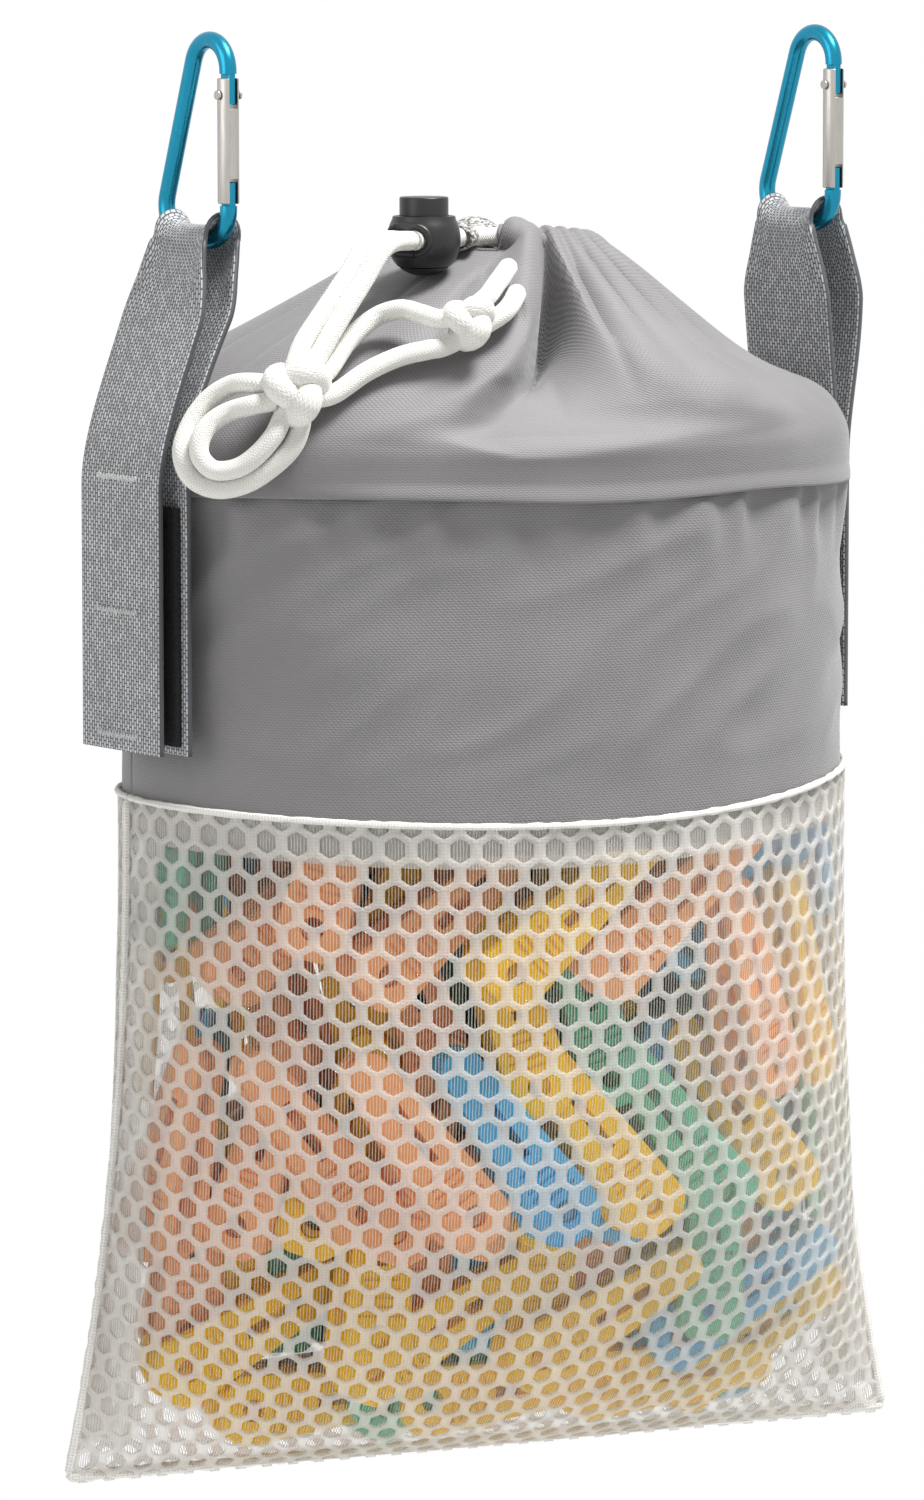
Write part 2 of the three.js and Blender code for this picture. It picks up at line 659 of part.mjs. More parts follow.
function strapPath(hanger) {
  const bulge = HOOD_SKIRT + HOOD_BULGE;
  const inner = sideReach(hanger, HALF_WIDTH + bulge, HALF_DEPTH + bulge);
  const outer = inner + 2 * STRAP_THICKNESS + STRAP_GAP;
  const hemZ = HEM_Z - BASE_Z;
  const archTop = ROD / 2 + 2 * CLEARANCE + STRAP_THICKNESS;
  const archHeight = archTop + 2;
  const path = new THREE.Path();
  path.moveTo(outer, -STRAP_LENGTH);
  path.lineTo(outer, hemZ + 2);
  path.bezierCurveTo(outer, hemZ + 25, LOOP_HALF_WIDTH, -22, LOOP_HALF_WIDTH, archTop - archHeight);
  path.absellipse(0, archTop - archHeight, LOOP_HALF_WIDTH, archHeight, 0, Math.PI, false);
  path.bezierCurveTo(-LOOP_HALF_WIDTH, -20, inner, hemZ + 32, inner, hemZ + 8);
  path.lineTo(inner, -STRAP_LENGTH);
  return path;
}

// A point of the strap: along is its place on the path, across runs from 0 to 1 over the width, and depth is
// measured inwards from the outer face of the fold
function strapPoint({ side }, path, width, across, along, depth) {
  const p = path.getPoint(along);
  const step = 2e-3;
  const tangent = path.getPoint(Math.min(1, along + step)).sub(path.getPoint(Math.max(0, along - step)));
  tangent.normalize();
  const pinch = THREE.MathUtils.smoothstep(p.y, -STRAP_FLARE, -2);
  const share = across - 0.5;
  const y = share * THREE.MathUtils.lerp(width, Math.min(width, STRAP_PINCH), pinch);
  const baseInside = BASE_RADIUS - ROD / 2;
  const beyond = Math.min(baseInside, Math.max(0, Math.abs(y) - BASE_FLAT / 2));
  const cup = pinch * (baseInside - Math.sqrt(baseInside ** 2 - beyond ** 2));
  const inner = THREE.MathUtils.smoothstep(along, 0.55, 0.8);
  const out = p.x - tangent.y * depth;
  const z = BASE_Z + p.y + tangent.x * depth + cup;
  return new THREE.Vector3(side * out, BASE_Y + side * y - STRAP_SKEW * inner, z);
}

function strap(hanger) {
  const path = strapPath(hanger);
  const closerAtFold = (v) => v + (0.85 * Math.sin(2 * Math.PI * v)) / (2 * Math.PI);
  return sheet({
    outer: (u, v) => strapPoint(hanger, path, STRAP_WIDTH, u, closerAtFold(v), 0),
    thickness: STRAP_THICKNESS,
    across: 6,
    along: 32,
  });
}

// A tape on the facing side of a strand, between two places on the strap's path
function tape(hanger, from, to) {
  const path = strapPath(hanger);
  const depth = STRAP_THICKNESS + CLEARANCE;
  return sheet({
    outer: (u, v) => strapPoint(hanger, path, TAPE_WIDTH, u, THREE.MathUtils.lerp(from, to, v), depth),
    thickness: TAPE_THICKNESS,
    across: 2,
    along: 8,
  });
}

function hanger(place) {
  const group = new THREE.Group();
  group.position.set(place.x, place.y, 0);
  group.rotation.z = HANGER_TURN;
  const add = (name, geometry, material) => group.add(named(`${place.name}_${name}`, geometry, material));
  add("carabiner_frame", carabinerFrame(), TEAL_ALUMINIUM);
  add("carabiner_gate", carabinerGate(), PLAIN_ALUMINIUM);
  add("carabiner_rivet", gateRivet(), PLAIN_ALUMINIUM);
  add("carabiner_spring", gateSpring(), SPRING_STEEL);
  add("strap", strap(place), WEBBING);
  const length = strapPath(place).getLength();
  const inset = TAPE_INSET / length;
  const reach = (TAPE_INSET + TAPE_LENGTH) / length;
  add("hook_tape", tape(place, inset, reach), BLACK_TAPE);
  add("loop_tape", tape(place, 1 - reach, 1 - inset), BLACK_TAPE);
  return group;
}

// Pegs, each along Z in its own frame with the jaws up: two levers that meet at the jaws, and a spring between

// Corners of a lever's outline
function pegOutline() {
  const foot = -PEG_LENGTH / 2;
  const tip = PEG_LENGTH / 2;
  const half = PEG_WIDTH / 2;
  const jaw = PEG_JAW_WIDTH / 2;
  const right = [
    [half - PEG_CORNER, foot],
    [half, foot + PEG_CORNER],
    [jaw, tip - PEG_JAW_CORNER],
    [jaw - PEG_JAW_CORNER, tip],
  ];
  const left = right.map(([x, z]) => [-x, z]).reverse();
  return [...right, ...left].map((point) => new THREE.Vector2(...point));
}

function pegLever() {
  const outline = new THREE.Shape(pegOutline());
  const lever = new THREE.ExtrudeGeometry(outline, { depth: PEG_LEVER, bevelEnabled: false });
  return lever.rotateX(Math.PI / 2);
}

function peg() {
  const spread = Math.atan2((PEG_SPREAD - PEG_JAW) / 2, PEG_LENGTH);
  const front = pegLever();
  front.rotateX(-spread).translate(0, PEG_LEVER - (PEG_SPREAD + PEG_JAW) / 4, 0);
  const back = front.clone().rotateZ(Math.PI);
  const springZ = PEG_LENGTH / 8;
  const spring = rod(PEG_SPRING + 2 * FUSE, PEG_JAW_WIDTH, ALONG_LINE, new THREE.Vector3(0, 0, springZ), 8);
  return join(front, back, spring);
}

// Rows of parallel pegs: side -1 lies on the front wall and 1 on the back one. rise is the height of the row's
// middle, as a share of the net's height.
const PEG_ROWS = [
  { side: -1, rise: 0.22, tilt: 64, colours: ["yellow", "yellow", "blue", "green"] },
  { side: 1, rise: 0.22, tilt: -64, colours: ["blue", "green", "yellow"] },
  { side: -1, rise: 0.515, tilt: -36, colours: ["peach", "peach", "blue", "yellow", "green", "yellow"] },
  { side: 1, rise: 0.515, tilt: 50, colours: ["peach", "yellow", "blue", "green"] },
  { side: -1, rise: 0.86, tilt: 50, colours: ["green", "peach", "yellow", "peach", "blue"] },
  { side: 1, rise: 0.86, tilt: -60, colours: ["yellow", "green", "peach"] },
];
const PEG_WALL = NET + CLEARANCE + CLOTH;
const PEG_WALL_GAP = 0.7;

// Room from the middle plane to the wall for a peg that lies against it at this place
function pegRoom(x, z, angle) {
  const rooms = pegOutline().map(({ x: across, y: along }) => {
    const cornerX = x + along * Math.sin(angle) + across * Math.cos(angle);
    const cornerZ = z + along * Math.cos(angle) - across * Math.sin(angle);
    const half = THREE.MathUtils.mapLinear(along, -PEG_LENGTH / 2, PEG_LENGTH / 2, PEG_SPREAD, PEG_JAW) / 2;
    const wall = cornerZ > NET_TOP_Z - SEAM_OVERLAP - CLEARANCE ? PEG_WALL : NET;
    return insideDepth(cornerX, cornerZ, wall + PEG_WALL_GAP) - half;
  });
  return Math.min(...rooms);
}

function pegs() {
  const group = new THREE.Group();
  for (const { side, rise, tilt, colours } of PEG_ROWS) {
    const angle = THREE.MathUtils.degToRad(tilt);
    const pitch = (PEG_WIDTH + PEG_ROW_GAP) / Math.cos(angle);
    const z = THREE.MathUtils.lerp(BOTTOM_Z, NET_TOP_Z, rise);
    colours.forEach((colour, place) => {
      const x = (place - (colours.length - 1) / 2) * pitch;
      const mesh = named(`peg_${group.children.length + 1}`, peg(), PEG_COLOURS[colour]);
      mesh.position.set(x, side * pegRoom(x, z, angle), z);
      mesh.rotation.y = angle;
      group.add(mesh);
    });
  }
  return group;
}

const model = new THREE.Group();
model.add(named("upper_front_panel", clothPanel(-1), GREY_CLOTH));
model.add(named("upper_back_panel", clothPanel(1), GREY_CLOTH));
model.add(named("net_front_panel", netPanel(-1), WHITE_NET));
model.add(named("net_back_panel", netPanel(1), WHITE_NET));
model.add(named("hood", hood(), GREY_CLOTH));
model.add(named("cord_casing", casing(), GREY_CLOTH));
model.add(named("drawcord", drawcord(), WHITE_CORD));
model.add(cordLock());
model.add(freeCords());
model.add(hanger(LEFT_HANGER));
model.add(hanger(RIGHT_HANGER));
model.add(pegs());

export default model;
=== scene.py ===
"""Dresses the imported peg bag: gathered cloth, honeycomb net, cords, straps, carabiners and pegs.

Sizes, and places that aren't in a mesh yet, are in millimetres where no comment says otherwise. Meshes,
finishes and the stage are in metres.
"""

import json
import logging
import math
from bisect import bisect_left, bisect_right
from dataclasses import dataclass
from enum import Enum
from functools import lru_cache, reduce
from itertools import accumulate
from typing import Any, Callable, Mapping, Sequence

import bmesh
import bpy
from bmesh.types import BMEdge, BMesh, BMVert
from bpy.types import Material, Node, NodeSocket, NodeTree, Object
from mathutils import Matrix, Vector, noise
from mathutils.geometry import interpolate_bezier
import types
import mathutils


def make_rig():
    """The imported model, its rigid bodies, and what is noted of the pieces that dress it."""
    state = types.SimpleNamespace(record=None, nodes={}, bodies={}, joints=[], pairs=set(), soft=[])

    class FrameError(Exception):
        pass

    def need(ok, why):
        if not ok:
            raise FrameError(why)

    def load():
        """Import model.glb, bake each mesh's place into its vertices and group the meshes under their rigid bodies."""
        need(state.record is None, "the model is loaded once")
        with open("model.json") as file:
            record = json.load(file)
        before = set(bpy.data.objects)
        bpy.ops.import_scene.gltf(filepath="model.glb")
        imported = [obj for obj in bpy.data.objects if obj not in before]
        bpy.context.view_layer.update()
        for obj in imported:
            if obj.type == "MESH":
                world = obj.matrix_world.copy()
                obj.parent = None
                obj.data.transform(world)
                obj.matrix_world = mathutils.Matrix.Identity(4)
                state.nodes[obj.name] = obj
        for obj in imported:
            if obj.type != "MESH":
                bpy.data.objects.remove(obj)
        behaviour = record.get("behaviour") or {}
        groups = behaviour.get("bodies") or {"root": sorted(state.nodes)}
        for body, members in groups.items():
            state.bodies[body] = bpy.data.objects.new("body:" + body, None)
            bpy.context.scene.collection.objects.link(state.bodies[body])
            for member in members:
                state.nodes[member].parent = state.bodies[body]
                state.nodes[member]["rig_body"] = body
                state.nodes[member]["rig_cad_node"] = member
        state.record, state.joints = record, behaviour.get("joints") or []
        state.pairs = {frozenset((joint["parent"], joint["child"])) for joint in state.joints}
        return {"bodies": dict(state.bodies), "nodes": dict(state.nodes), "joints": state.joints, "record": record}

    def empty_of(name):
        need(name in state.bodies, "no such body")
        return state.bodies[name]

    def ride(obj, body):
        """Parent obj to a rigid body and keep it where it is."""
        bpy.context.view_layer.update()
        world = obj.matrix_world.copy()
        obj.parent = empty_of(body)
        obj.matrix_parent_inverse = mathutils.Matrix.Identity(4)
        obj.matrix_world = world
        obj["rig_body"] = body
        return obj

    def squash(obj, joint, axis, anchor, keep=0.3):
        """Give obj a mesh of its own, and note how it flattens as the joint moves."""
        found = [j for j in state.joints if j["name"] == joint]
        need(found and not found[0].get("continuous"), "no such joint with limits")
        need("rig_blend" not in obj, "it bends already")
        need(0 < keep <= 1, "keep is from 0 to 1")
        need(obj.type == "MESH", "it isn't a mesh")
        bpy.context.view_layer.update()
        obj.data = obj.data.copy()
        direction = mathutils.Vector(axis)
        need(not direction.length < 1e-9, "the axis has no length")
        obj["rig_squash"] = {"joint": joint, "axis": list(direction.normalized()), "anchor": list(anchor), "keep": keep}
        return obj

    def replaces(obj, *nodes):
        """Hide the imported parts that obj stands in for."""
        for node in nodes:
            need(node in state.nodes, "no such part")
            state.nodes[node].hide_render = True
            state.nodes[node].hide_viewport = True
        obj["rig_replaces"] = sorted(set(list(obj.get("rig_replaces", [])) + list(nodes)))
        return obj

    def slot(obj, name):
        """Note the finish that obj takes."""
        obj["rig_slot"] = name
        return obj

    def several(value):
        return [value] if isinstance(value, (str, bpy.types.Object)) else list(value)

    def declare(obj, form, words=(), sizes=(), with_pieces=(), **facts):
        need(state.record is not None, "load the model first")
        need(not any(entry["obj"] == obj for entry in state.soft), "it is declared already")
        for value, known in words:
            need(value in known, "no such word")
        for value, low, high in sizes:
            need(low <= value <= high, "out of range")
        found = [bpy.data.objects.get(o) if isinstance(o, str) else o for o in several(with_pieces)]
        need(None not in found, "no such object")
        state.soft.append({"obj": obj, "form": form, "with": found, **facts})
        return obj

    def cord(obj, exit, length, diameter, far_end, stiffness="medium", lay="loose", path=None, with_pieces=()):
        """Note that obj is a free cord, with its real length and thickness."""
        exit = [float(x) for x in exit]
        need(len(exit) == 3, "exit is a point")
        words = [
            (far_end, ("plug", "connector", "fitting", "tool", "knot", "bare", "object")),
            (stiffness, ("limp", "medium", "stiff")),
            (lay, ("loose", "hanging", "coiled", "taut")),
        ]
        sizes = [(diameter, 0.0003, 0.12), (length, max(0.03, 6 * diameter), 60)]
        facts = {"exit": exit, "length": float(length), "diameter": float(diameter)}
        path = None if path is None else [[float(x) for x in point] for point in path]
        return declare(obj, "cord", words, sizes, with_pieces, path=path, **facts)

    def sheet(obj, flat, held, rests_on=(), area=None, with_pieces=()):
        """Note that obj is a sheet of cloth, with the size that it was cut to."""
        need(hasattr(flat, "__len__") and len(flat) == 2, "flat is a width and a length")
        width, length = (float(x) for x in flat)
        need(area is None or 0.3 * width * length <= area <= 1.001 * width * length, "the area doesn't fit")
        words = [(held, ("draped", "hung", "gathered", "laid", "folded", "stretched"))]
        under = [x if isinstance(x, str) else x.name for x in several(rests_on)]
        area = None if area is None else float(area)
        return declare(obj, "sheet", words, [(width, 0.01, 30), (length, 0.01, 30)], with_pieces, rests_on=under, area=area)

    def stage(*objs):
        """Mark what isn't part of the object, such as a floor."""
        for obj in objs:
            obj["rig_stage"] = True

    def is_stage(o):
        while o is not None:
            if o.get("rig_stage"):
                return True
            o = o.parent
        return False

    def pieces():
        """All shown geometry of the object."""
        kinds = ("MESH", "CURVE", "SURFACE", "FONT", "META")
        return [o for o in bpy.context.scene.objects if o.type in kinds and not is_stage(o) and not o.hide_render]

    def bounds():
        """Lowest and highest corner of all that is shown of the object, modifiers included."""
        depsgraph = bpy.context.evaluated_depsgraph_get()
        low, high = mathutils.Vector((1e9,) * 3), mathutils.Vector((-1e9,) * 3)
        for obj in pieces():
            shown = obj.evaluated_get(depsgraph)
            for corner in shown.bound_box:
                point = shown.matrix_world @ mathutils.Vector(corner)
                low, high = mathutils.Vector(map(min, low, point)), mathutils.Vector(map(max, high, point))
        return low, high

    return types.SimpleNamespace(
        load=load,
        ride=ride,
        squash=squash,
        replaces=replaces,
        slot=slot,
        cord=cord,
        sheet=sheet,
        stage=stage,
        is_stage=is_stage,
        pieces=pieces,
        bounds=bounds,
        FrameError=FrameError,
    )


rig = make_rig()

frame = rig.load()
LOG = logging.getLogger("peg_bag")
MM = 0.001
SIZE_FILE = "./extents.json"
FLAT_MAP = "flat"
BAG = "bag"
TINY = 1e-12
Place = Callable[[float, float], Vector]
Curve = Callable[[float], Vector]
Pair = tuple[float, float]


class Labelled(Enum):
    """A choice whose name, in small letters, stands in the names of pieces and nodes."""

    @property
    def label(self) -> str:
        """The choice's name in small letters."""
        return self.name.lower()


class Side(Labelled):
    """Left or right hanger, with the sign of its X."""

    LEFT = -1
    RIGHT = 1


class Wall(Labelled):
    """Front or back half of the bag, with the sign of its Y."""

    FRONT = -1
    BACK = 1


class PegColour(Labelled):
    """Colours of the pegs, with the letter that stands for each in a row."""

    YELLOW = "y"
    PEACH = "p"
    GREEN = "g"
    BLUE = "b"


# Small sums


def limit(share: float) -> float:
    """A share, kept from 0 to 1."""
    return min(1.0, max(0.0, share))


def ease(low: float, high: float, value: float) -> float:
    """Smooth step from 0 at low to 1 at high."""
    share = limit((value - low) / (high - low))
    return share * share * (3 - 2 * share)


def mix(start: float, end: float, share: float) -> float:
    """Straight mix of two numbers."""
    return start + (end - start) * share


def hump(offset: float, width: float) -> float:
    """Bell curve that is 1 at no offset and fades over a width."""
    return math.exp(-((offset / width) ** 2))


def turn_between(angle: float, other: float) -> float:
    """Signed turn from one angle to another, in radians, the short way round."""
    return (angle - other + math.pi) % (2 * math.pi) - math.pi


def follow(stops: Sequence[Pair], value: float) -> float:
    """Draws a smooth curve through stops, level beyond the ends.

    Args:
        stops: Places in rising order, each with the height there.
        value: The place that is asked for.

    Returns:
        The height at that place.
    """
    last = len(stops) - 1
    index = min(last - 1, max(0, bisect_right(stops, (value, math.inf)) - 1))
    slopes = []
    for i in (index, index + 1):
        before, after = stops[max(0, i - 1)], stops[min(last, i + 1)]
        slopes.append((after[1] - before[1]) / (after[0] - before[0]))
    (low, start), (high, end) = stops[index], stops[index + 1]
    share = limit((value - low) / (high - low))
    bow = share * (1 - share) * (high - low)
    return mix(start, end, ease(0, 1, share)) + bow * ((1 - share) * slopes[0] - share * slopes[1])


def lengths_along(points: Sequence[Vector]) -> list[float]:
    """Length along a line of points, from its start to each of them."""
    return list(accumulate(((end - start).length for start, end in zip(points, points[1:])), initial=0.0))


def locate(sums: Sequence[float], want: float) -> tuple[int, float]:
    """The step of a rising list that holds a value, and the share of that step before it."""
    index = min(len(sums) - 2, max(0, bisect_left(sums, want) - 1))
    return index, (want - sums[index]) / max(sums[index + 1] - sums[index], TINY)


def steps_before(sums: Sequence[float], share: float) -> float:
    """Share of the steps of a rising list that lie before a share of its total."""
    index, part = locate(sums, limit(share) * sums[-1])
    return (index + part) / (len(sums) - 1)


# Materials


def linear(code: str) -> tuple[float, float, float, float]:
    """An sRGB hex colour as linear red, green, blue and alpha."""
    parts = [int(code[i : i + 2], 16) / 255 for i in (0, 2, 4)]
    return *(c / 12.92 if c <= 0.04045 else ((c + 0.055) / 1.055) ** 2.4 for c in parts), 1.0


def set_inputs(tree: NodeTree, node: Node, inputs: Mapping[Any, Any]) -> None:
    """Sets a node's inputs.

    Args:
        tree: The node tree.
        node: The node.
        inputs: Values, or sockets to link from, by input name or number.
    """
    for key, value in inputs.items():
        if isinstance(value, NodeSocket):
            tree.links.new(value, node.inputs[key])
        else:
            node.inputs[key].default_value = value


def add_node(tree: NodeTree, kind: str, inputs: Mapping[Any, Any] | None = None, **settings: Any) -> Node:
    """Adds a node with its settings and links.

    Args:
        tree: The node tree it goes into.
        kind: The node's type name, without its prefix.
        inputs: Values, or sockets to link from, by input name or number.
        settings: The node's own properties.

    Returns:
        The new node.
    """
    made = tree.nodes.new(f"ShaderNode{kind}")
    for name, value in settings.items():
        setattr(made, name, value)
    set_inputs(tree, made, inputs or {})
    return made


def flat_place(tree: NodeTree) -> NodeSocket:
    """Place on the flat sheet, in metres, from the piece's own map."""
    return add_node(tree, "UVMap", uv_map=FLAT_MAP).outputs["UV"]


def solid_place(tree: NodeTree) -> NodeSocket:
    """Place in the part's frame, in metres."""
    return add_node(tree, "TexCoord").outputs["Object"]


def combine(tree: NodeTree, operation: str, first: NodeSocket, second: NodeSocket | float) -> NodeSocket:
    """Works out one value from two."""
    return add_node(tree, "Math", {0: first, 1: second}, operation=operation).outputs[0]


def remap(tree: NodeTree, value: NodeSocket, source: Pair, target: Pair) -> NodeSocket:
    """Maps one range of values onto another."""
    ends = {"From Min": source[0], "From Max": source[1], "To Min": target[0], "To Max": target[1]}
    return add_node(tree, "MapRange", {"Value": value, **ends}).outputs["Result"]


def speckle(tree: NodeTree, place: NodeSocket, grain: float, detail: float) -> NodeSocket:
    """Soft noise with grains of a size in metres."""
    return add_node(tree, "TexNoise", {"Vector": place, "Scale": 1 / grain, "Detail": detail}).outputs["Fac"]


# A band wave repeats every pi / 10 divided by its scale
WAVE = math.pi / 10


def bands(
    tree: NodeTree, place: NodeSocket, period: float, way: str, distortion: float, detail_scale: float = 1.0
) -> NodeSocket:
    """Soft bands, a period in metres apart one way, uneven by a distortion and the scale of its detail."""
    inputs = {"Vector": place, "Scale": WAVE / period, "Distortion": distortion, "Detail Scale": detail_scale}
    return add_node(tree, "TexWave", inputs, bands_direction=way).outputs["Fac"]


@dataclass(frozen=True)
class Finish:
    """What every finish has: its name, main colour, colour in the hollows, and shader values. The colour in the hollows
    is painted shade, except in the webbing and the melange knit, where it is their real dark yarn.
    """

    name: str
    colour: str
    # Painted shade in the pattern's hollows, except in the webbing and the melange knit, where it is their real dark
    # yarn
    hollow: str
    roughness: float
    metallic: float = 0.0
    sheen: float = 0.0
    alpha: float = 1.0
    depth: float = 0.12 * MM
    drift: float = 25 * MM  # dye and handling leave the colour uneven over about this length
    uneven: Pair = (0.94, 1.04)

    def pattern(self, tree: NodeTree) -> NodeSocket:
        """Draws the height of the surface; each finish has its own.

        Args:
            tree: The material's nodes.

        Returns:
            The height, from 0 in the hollows to 1.
        """
        raise NotImplementedError

    def material(self) -> Material:
        """Builds the material, once.

        Returns:
            The material with its colour and bump drawn from the pattern.
        """
        known = bpy.data.materials.get(self.name)
        if known:
            return known
        material = bpy.data.materials.new(self.name)
        material.use_nodes = True
        tree = material.node_tree
        height = self.pattern(tree)
        drift = speckle(tree, solid_place(tree), self.drift, detail=3)
        # The colours of a Mix node come after its numbers and vectors, so they are reached by number
        # Low places of the pattern take the hollow colour: painted shade there, except in the webbing and the melange
        # knit, whose dark yarn is real
        ends = {0: height, 6: linear(self.hollow), 7: linear(self.colour)}
        shade = add_node(tree, "Mix", ends, data_type="RGBA").outputs[2]
        value = remap(tree, drift, (0.3, 0.7), self.uneven)
        tone = add_node(tree, "HueSaturation", {"Color": shade, "Value": value})
        dull, glossy = min(1.0, self.roughness + 0.08), self.roughness - 0.04
        bump = add_node(tree, "Bump", {"Height": height, "Strength": 0.6, "Distance": self.depth})
        values = {
            "Base Color": tone.outputs["Color"],
            "Roughness": remap(tree, height, (0, 1), (dull, glossy)),
            "Normal": bump.outputs["Normal"],
            "Metallic": self.metallic,
            "Sheen Weight": self.sheen,
            "Sheen Roughness": 0.5,
            "Alpha": self.alpha,
        }
        set_inputs(tree, tree.nodes["Principled BSDF"], values)
        return material


@dataclass(frozen=True)
class TwillCloth(Finish):
    """Polyester twill, woven and pressed: slanted ribs with a soft sheen."""

    rib: float = 0.9 * MM  # real ribs are about 0.4 mm, too fine to show
    slant: float = 1.4  # slanted bands lie this much closer together than upright ones

    def pattern(self, tree: NodeTree) -> NodeSocket:
        """Draws slanted ribs crossed by finer weft threads.

        Args:
            tree: The material's nodes.

        Returns:
            The height, from 0 in the hollows to 1.
        """
        flat = flat_place(tree)
        ribs = bands(tree, flat, self.rib / self.slant, "DIAGONAL", distortion=0.7)
        weft = bands(tree, flat, 0.8 * self.rib, "Y", distortion=0.5)
        return combine(tree, "MULTIPLY", combine(tree, "ADD", ribs, weft), 0.5)


@dataclass(frozen=True)
class NetKnit(Finish):
    """Warp-knitted polyester net: rows of fine loops across, on upright chains."""

    course: float = 0.9 * MM
    wale: float = 1.1 * MM

    def pattern(self, tree: NodeTree) -> NodeSocket:
        """Knitted rows, broken up by the chains."""
        rows = bands(tree, flat_place(tree), self.course, "Y", distortion=1.2, detail_scale=1.5)
        return combine(tree, "MAXIMUM", rows, bands(tree, flat_place(tree), self.wale, "X", distortion=0.8))


@dataclass(frozen=True)
class MelangeKnit(Finish):
    """Melange jersey: pale and dark fibres spun together, so it looks speckled."""

    speck: float = 1.0 * MM

    def pattern(self, tree: NodeTree) -> NodeSocket:
        """Specks of pale fibre with hard edges."""
        return remap(tree, speckle(tree, solid_place(tree), self.speck, detail=2), (0.4, 0.6), (0, 1))


@dataclass(frozen=True)
class CordKnit(Finish):
    """Soft tubular knit: rows of V-shaped stitches round the cord."""

    stitch: float = 0.85 * MM
    wale: float = 1.44 * MM

    def pattern(self, tree: NodeTree) -> NodeSocket:
        """Draws chevrons, by folding the way round the cord.

        Args:
            tree: The material's nodes.

        Returns:
            The height, from 0 in the hollows to 1.
        """
        parts = add_node(tree, "SeparateXYZ", {"Vector": flat_place(tree)}).outputs
        fold = combine(tree, "PINGPONG", parts["X"], self.wale / 2)
        slant = combine(tree, "ADD", parts["Y"], fold)
        along = add_node(tree, "CombineXYZ", {"X": slant}).outputs["Vector"]
        return bands(tree, along, self.stitch, "X", distortion=0.3)


@dataclass(frozen=True)
class StrapWeave(Finish):
    """Coarse polypropylene webbing: pale dashes of weft between dark warps."""

    dash: float = 2.0 * MM
    row: float = 1.15 * MM

    def pattern(self, tree: NodeTree) -> NodeSocket:
        """Draws staggered dashes, as bricks laid along the strap.

        Args:
            tree: The material's nodes.

        Returns:
            The height, from 0 in the hollows to 1.
        """
        parts = add_node(tree, "SeparateXYZ", {"Vector": flat_place(tree)}).outputs
        lengthways = add_node(tree, "CombineXYZ", {"X": parts["Y"], "Y": parts["X"]}).outputs["Vector"]
        laying = {
            "Vector": lengthways,
            "Scale": 1 / MM,
            "Brick Width": self.dash / MM,
            "Row Height": self.row / MM,
            "Mortar Size": 0.26,
            "Mortar Smooth": 0.6,
            "Color1": (1, 1, 1, 1),
            "Color2": (0.55, 0.55, 0.55, 1),
            "Mortar": (0, 0, 0, 1),
        }
        bricks = add_node(tree, "TexBrick", laying).outputs["Color"]
        return add_node(tree, "RGBToBW", {"Color": bricks}).outputs["Val"]


@dataclass(frozen=True)
class HookPile(Finish):
    """Hook-and-loop tape: a dense pile of short bristles that swallows light."""

    bristle: float = 0.7 * MM

    def pattern(self, tree: NodeTree) -> NodeSocket:
        """Round tufts side by side."""
        tufts = {"Vector": solid_place(tree), "Scale": 1 / self.bristle}
        return add_node(tree, "TexVoronoi", tufts).outputs["Distance"]


@dataclass(frozen=True)
class MouldedPlastic(Finish):
    """Injection-moulded plastic: a fine sparked texture with soft gloss."""

    grain: float = 0.5 * MM

    def pattern(self, tree: NodeTree) -> NodeSocket:
        """Fine grain of the mould."""
        return speckle(tree, solid_place(tree), self.grain, detail=4)


@dataclass(frozen=True)
class DrawnMetal(Finish):
    """Drawn or brushed metal: streaks along its length."""

    streak: float = 0.35 * MM
    stretch: float = 18.0

    def pattern(self, tree: NodeTree) -> NodeSocket:
        """Noise stretched along Z."""
        drawn = add_node(tree, "Mapping", {"Vector": solid_place(tree), "Scale": (1, 1, 1 / self.stretch)})
        return speckle(tree, drawn.outputs["Vector"], self.streak, detail=3)


# The second colour of each finish, the pegs' too, is painted shade in the hollows of its pattern; only the webbing's
# dark warps and the melange lining's dark fibres are real colours
GREY_TWILL = TwillCloth("grey_polyester_twill", "898788", "797778", 0.6, sheen=0.25, depth=0.15 * MM)
WHITE_NET = NetKnit("white_knitted_net", "F8F5EF", "E8E4DC", 0.8, sheen=0.2, alpha=0.42, depth=0.2 * MM)
WHITE_THREAD = NetKnit("white_net_thread", "F0ECE4", "D8D2C8", 0.8, alpha=0.26, depth=0.05 * MM)
WHITE_EDGE = NetKnit("white_overlock_thread", "F3F1EC", "D5D1CA", 0.8, sheen=0.2, depth=0.25 * MM)
MELANGE_KNIT = MelangeKnit("melange_knit_lining", "CFCDCA", "5C5A59", 0.9, depth=0.3 * MM)
WHITE_CORD = CordKnit("white_knitted_cord", "F6F5F0", "E2E0D8", 0.75, sheen=0.25, depth=0.2 * MM)
GREY_WEBBING = StrapWeave("grey_webbing", "D8DADC", "484A4D", 0.42, sheen=0.1, depth=0.35 * MM)
GREY_STITCH = CordKnit("pale_stitching_thread", "ECECEA", "C6C6C6", 0.5, depth=0.05 * MM)
BLACK_PILE = HookPile("black_hook_and_loop", "242424", "0B0B0B", 0.95, depth=0.5 * MM)
BLACK_PLASTIC = MouldedPlastic("black_moulded_acetal", "1E1E1F", "171718", 0.36, depth=0.03 * MM)
TEAL_METAL = DrawnMetal("teal_anodised_aluminium", "2F9DBE", "247F9C", 0.24, metallic=1.0, depth=0.02 * MM)
BARE_METAL = DrawnMetal("brushed_aluminium", "C9C6C0", "A5A29C", 0.34, metallic=1.0, depth=0.04 * MM)
SPRING_STEEL = DrawnMetal("drawn_spring_wire", "B9BBBE", "9A9CA0", 0.3, metallic=1.0, depth=0.02 * MM)
